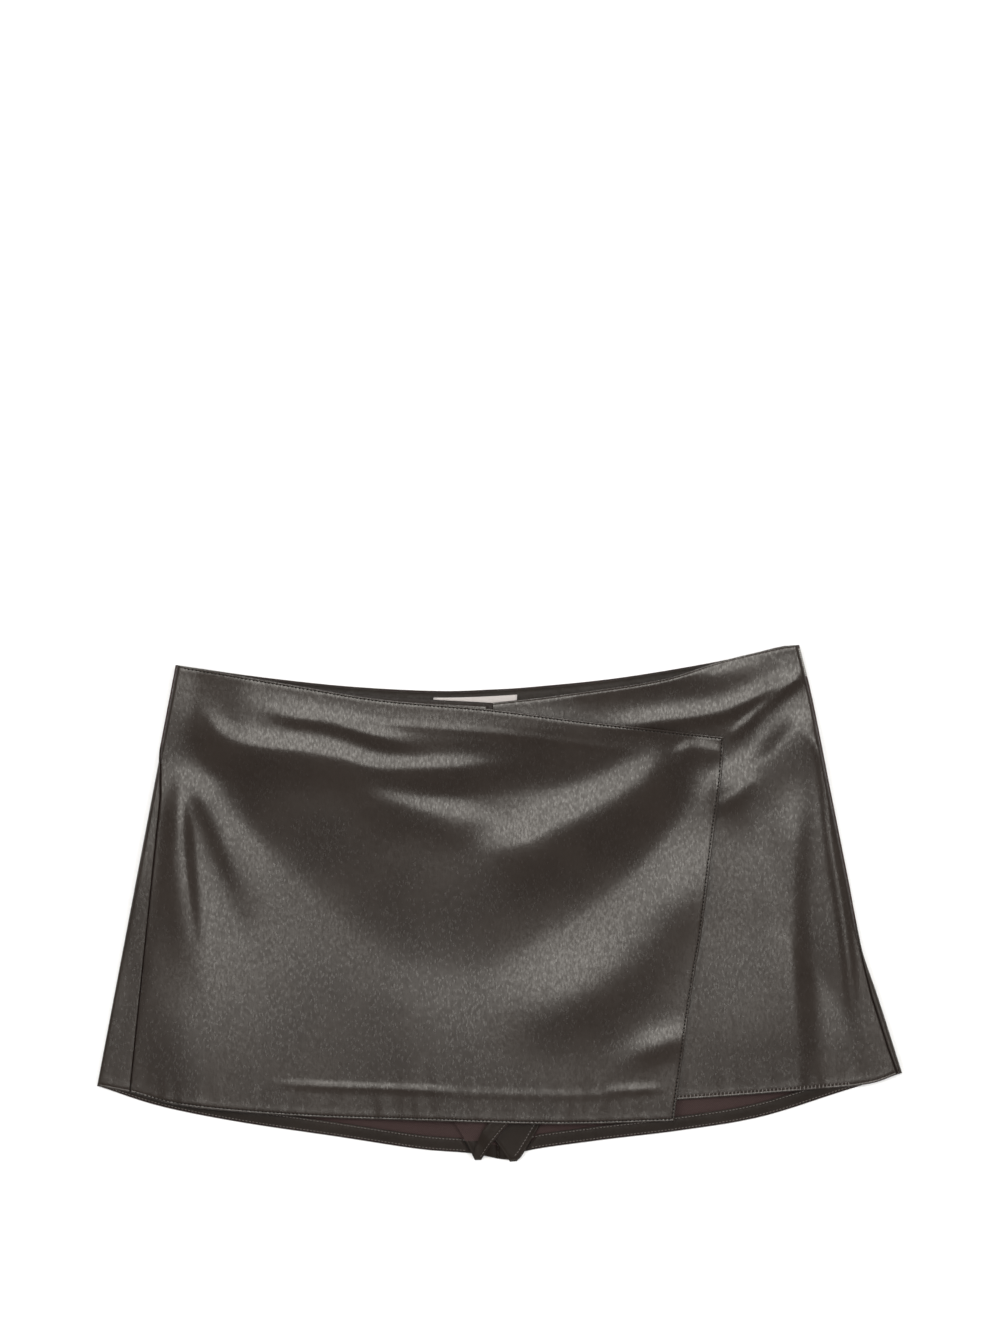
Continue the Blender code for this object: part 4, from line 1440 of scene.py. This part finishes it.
@dataclass
class LegCorners:
    """The inner corners of the two legs, which cross under the wrap's hem."""

    finishes: Wardrobe
    left_sides: tuple[Curve, Curve] = (
        Curve(((-16.6, -172.0), (-24.5, -156.5), (-36.0, -138.4))),
        Curve(((-12.4, -172.0), (-2.1, -157.3), (15.0, -138.4))),
    )
    right_sides: tuple[Curve, Curve] = (
        Curve(((7.0, -173.2), (-1.0, -161.8), (-20.0, -138.4))),
        Curve(((11.6, -172.8), (16.8, -166.3), (33.0, -138.4))),
    )
    size: Pair = (30.0, 38.0)
    pitch: float = 1.2
    ramp: float = 10.0
    ramp_lead: float = 3.0
    left_relief: float = 0.7
    # Below this height the left corner's face is painted in shade.
    painted_shade_tip: float = -159.0
    band_width: float = 10.0
    band_rise: float = 1.45
    band_length: float = 0.97
    band_inner: tuple[tuple[float, ...], tuple[float, ...]] = ((0, 0.35, 1), (0.04, 0.42, 0.72))
    band_outer: float = 0.985

    def left_height(self, x: Array, y: Array) -> Array:
        """The left corner's face, which climbs on to the right corner."""
        start = self.right_sides[0].x_at(y) - self.ramp - self.ramp_lead
        return BACK_TOP + BAND_RISE * (1 + fade((x - start) / self.ramp))

    def band_height(self, x: Array, y: Array) -> Array:
        """The face of the left corner's turned hem."""
        return self.left_height(x, y) + self.band_rise

    def between(self, left: Array, right: Array, length: float) -> Array:
        """The page between two sides.

        Args:
            left: the places along the left side.
            right: the places along the right side.
            length: about how far apart they are.

        Returns:
            The grid of (x, y).
        """
        across = graded(length, self.pitch)[None, :, None]
        return (1 - across) * left[:, None] + across * right[:, None]

    def make(self) -> None:
        """Builds both corners, the left one's turned hem and their stitches."""
        # turned is the leather darkened as painted shade: the right corner, the left corner's tip and its hem band wear
        # it.
        leather, turned, backing = self.finishes.leather, self.finishes.painted_shade_leather, self.finishes.backing
        width, length = self.size
        up = graded(length, self.pitch, True, False)
        right_page = self.between(*(side.at(up) for side in self.right_sides), width)
        grid = raised(right_page, on_backs, "lrh")
        right = Cloth("leg_corner_right", "inner_leg_right", grid, turned, backing).make()
        left_page = self.between(*(side.at(up) for side in self.left_sides), width)
        grid = raised(left_page, self.left_height, "lrh", "", self.left_relief)
        left = Cloth("leg_corner_left", "inner_leg_left", grid, backing, leather, "wrong_side").make()
        # The left corner's tip gets the painted shade.
        refinish(left, (turned, leather), lambda x, y, z: y / MM < self.painted_shade_tip)
        start, end = (side.at(up * self.band_length) for side in self.left_sides)
        inner = start + (end - start) * np.interp(up, *self.band_inner)[:, None]
        band_page = self.between(inner, start + (end - start) * self.band_outer, self.band_width)
        grid = raised(band_page, self.band_height, "lrh", "", self.left_relief)
        band = Cloth("leg_corner_left_hem", "inner_leg_left_hem", grid, turned, backing).make()
        right_seam = self.right_sides[1].beside(3.6, 120, (0.03, 0.98))
        left_seam = self.left_sides[1].beside(1.6, 120, (0.03, 0.96))
        stitches = sewn("corner_stitches", self.finishes.hem_thread, (
            (Stitching(width=0.5), on_face(right_seam, on_backs, -0.02)),
            (Stitching(width=0.4), on_face(left_seam, self.band_height, -0.06)),
        ))
        area_of(right_page)
        area_of(left_page)
        area_of(band_page)


@dataclass
class SideZip:
    """The concealed zip in the right side seam: its tape, and the teeth that show at the waist."""

    finishes: Wardrobe
    length: float = 150.0
    width: float = 9.0
    inward: float = 2.7
    side_length: float = 295.0
    tape_end: float = 0.99
    tape_rows: int = 60
    tape_columns: tuple[float, ...] = (1.0, 0.66, 0.33, 0.0)
    tooth_pitch: float = 1.25
    tooth_size: Triple = (1.5, 0.62, 1.1)
    tooth_bevel: float = 0.12
    tooth_overhang: float = 0.1
    teeth_below_waist: float = 3.0
    shown_length: float = 18.0

    def make(self) -> None:
        """Builds the tape and the teeth."""
        points, inward = RIGHT.at(np.linspace(1 - self.length / self.side_length, self.tape_end, self.tape_rows))
        page = np.stack([points + inward * (self.inward + self.width * share) for share in self.tape_columns], axis=1)
        grid = raised(page, on_backs)
        tape = Cloth("zip_tape", "side_zip", grid, self.finishes.tape, self.finishes.tape, "zip").make()
        shape = bmesh.new()
        end = 1 - self.teeth_below_waist / self.side_length
        start = end - self.shown_length / self.side_length
        size = Matrix.Scale(MM, 4), Matrix.Diagonal((*self.tooth_size, 1.0))
        points, inward = RIGHT.at(np.linspace(start, end, int(self.shown_length / self.tooth_pitch)))
        for point, direction in zip(points, inward):
            spot = Matrix.Translation((*(point - direction * self.tooth_overhang), RIGHT.roll))
            turn = Matrix.Rotation(math.atan2(direction[1], direction[0]), 4, "Z")
            bmesh.ops.create_cube(shape, size=1.0, matrix=size[0] @ spot @ turn @ size[1])
        bmesh.ops.bevel(
            shape, geom=list(shape.edges), offset=self.tooth_bevel * MM, offset_type="OFFSET", segments=2,
            profile=0.5, affect="EDGES", material=-1,
        )
        made("zip_teeth", shape, (self.finishes.teeth,))


# The studio.


@dataclass(frozen=True)
class Softbox:
    """A large soft light: where it hangs, its size, its power and what it points at."""

    place: Triple
    size: Pair
    power: float
    aim: Triple = (0.0, 0.0, 0.0)
    colour: Triple = (1.0, 1.0, 1.0)
    mirrored: bool = False

    def make(self, name: str) -> None:
        """Hangs the light, which glossy cloth mirrors only where that is asked for.

        Args:
            name: the light's name.
        """
        light = bpy.data.lights.new(name, "AREA")
        light.shape = "RECTANGLE"
        light.size, light.size_y = self.size
        light.energy = self.power
        light.color = self.colour
        lamp = linked(name, light)
        lamp.location = self.place
        lamp.visible_glossy = self.mirrored
        lamp.rotation_euler = (Vector(self.place) - Vector(self.aim)).to_track_quat("Z", "Y").to_euler()


@dataclass(frozen=True)
class Studio:
    """The pale floor, the lights and the camera straight above the garment."""

    middle: Pair = (0.0003, 0.1583)
    frame_height: float = 0.894
    lens: float = 360.0
    sensor: float = 36.0
    floor_reach: float = 16.0
    floor_drop: float = 0.0002
    floor_colour: tuple[float, float, float, float] = (0.9, 0.9, 0.9, 1.0)
    softboxes: tuple[tuple[str, Softbox], ...] = (
        ("Large softbox", Softbox((0.0, 4.25, 12.0), (3.9, 8.3), 625.0, (0.0, 4.25, 0.0), (1.0, 0.97, 0.905), True)),
        ("Left fill", Softbox((-9.6, 0.8, 6.0), (9.0, 8.0), 1050.0)),
        ("Right fill", Softbox((9.6, 0.8, 6.0), (9.0, 8.0), 1050.0)),
    )
    air: Triple = (0.22, 0.22, 0.22)
    walls: Triple = (0.85, 0.85, 0.85)
    wall_sines: Pair = (0.78, 0.45)

    def make(self) -> None:
        """Sets up the studio."""
        self.make_floor()
        for name, softbox in self.softboxes:
            softbox.make(name)
        self.make_air()
        data = bpy.data.cameras.new("Camera")
        data.sensor_width = self.sensor
        data.lens = self.lens
        camera = linked("Camera", data)
        camera.location = (*self.middle, self.frame_height * self.lens / self.sensor)
        bpy.context.scene.camera = camera
        bpy.context.scene.view_settings.view_transform = "Standard"

    def make_air(self) -> None:
        """Lights the garment from all round: dimly from above, where the camera hangs, and more from the walls."""
        world = bpy.data.worlds.new("Studio air")
        world.use_nodes = True
        bench = Bench("Studio walls", world.node_tree)
        direction = bench.add("ShaderNodeTexCoord", {}, {}, "Generated")
        height = bench.add("ShaderNodeSeparateXYZ", {}, {0: direction}, "Z")
        light = bench.mix(height.step(*self.wall_sines), self.air, self.walls)
        background = bench.add("ShaderNodeBackground", {}, {"Color": light})
        bench.add("ShaderNodeOutputWorld", {}, {"Surface": background})
        bpy.context.scene.world = world

    def make_floor(self) -> None:
        """Lays the pale floor."""
        shape = bmesh.new()
        below = Matrix.Translation((0, 0, -self.floor_drop))
        bmesh.ops.create_grid(shape, x_segments=1, y_segments=1, size=self.floor_reach, matrix=below)
        mesh = bpy.data.meshes.new("floor")
        shape.to_mesh(mesh)
        shape.free()
        inputs = {"Base Color": self.floor_colour, "Roughness": 0.95, "Specular IOR Level": 0.0}
        mesh.materials.append(Bench("Pale floor").finish(inputs))
        linked("floor", mesh)


def main() -> None:
    """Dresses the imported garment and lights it."""
    logging.basicConfig(level=logging.INFO, format="%(name)s: %(message)s")
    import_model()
    finishes = Wardrobe()
    Backs(finishes).make()
    WaistTrim(finishes).make()
    Fronts(finishes).make()
    LegCorners(finishes).make()
    WrapPanel(finishes).make()
    SideZip(finishes).make()
    Studio().make()


if __name__ == "__main__":
    main()
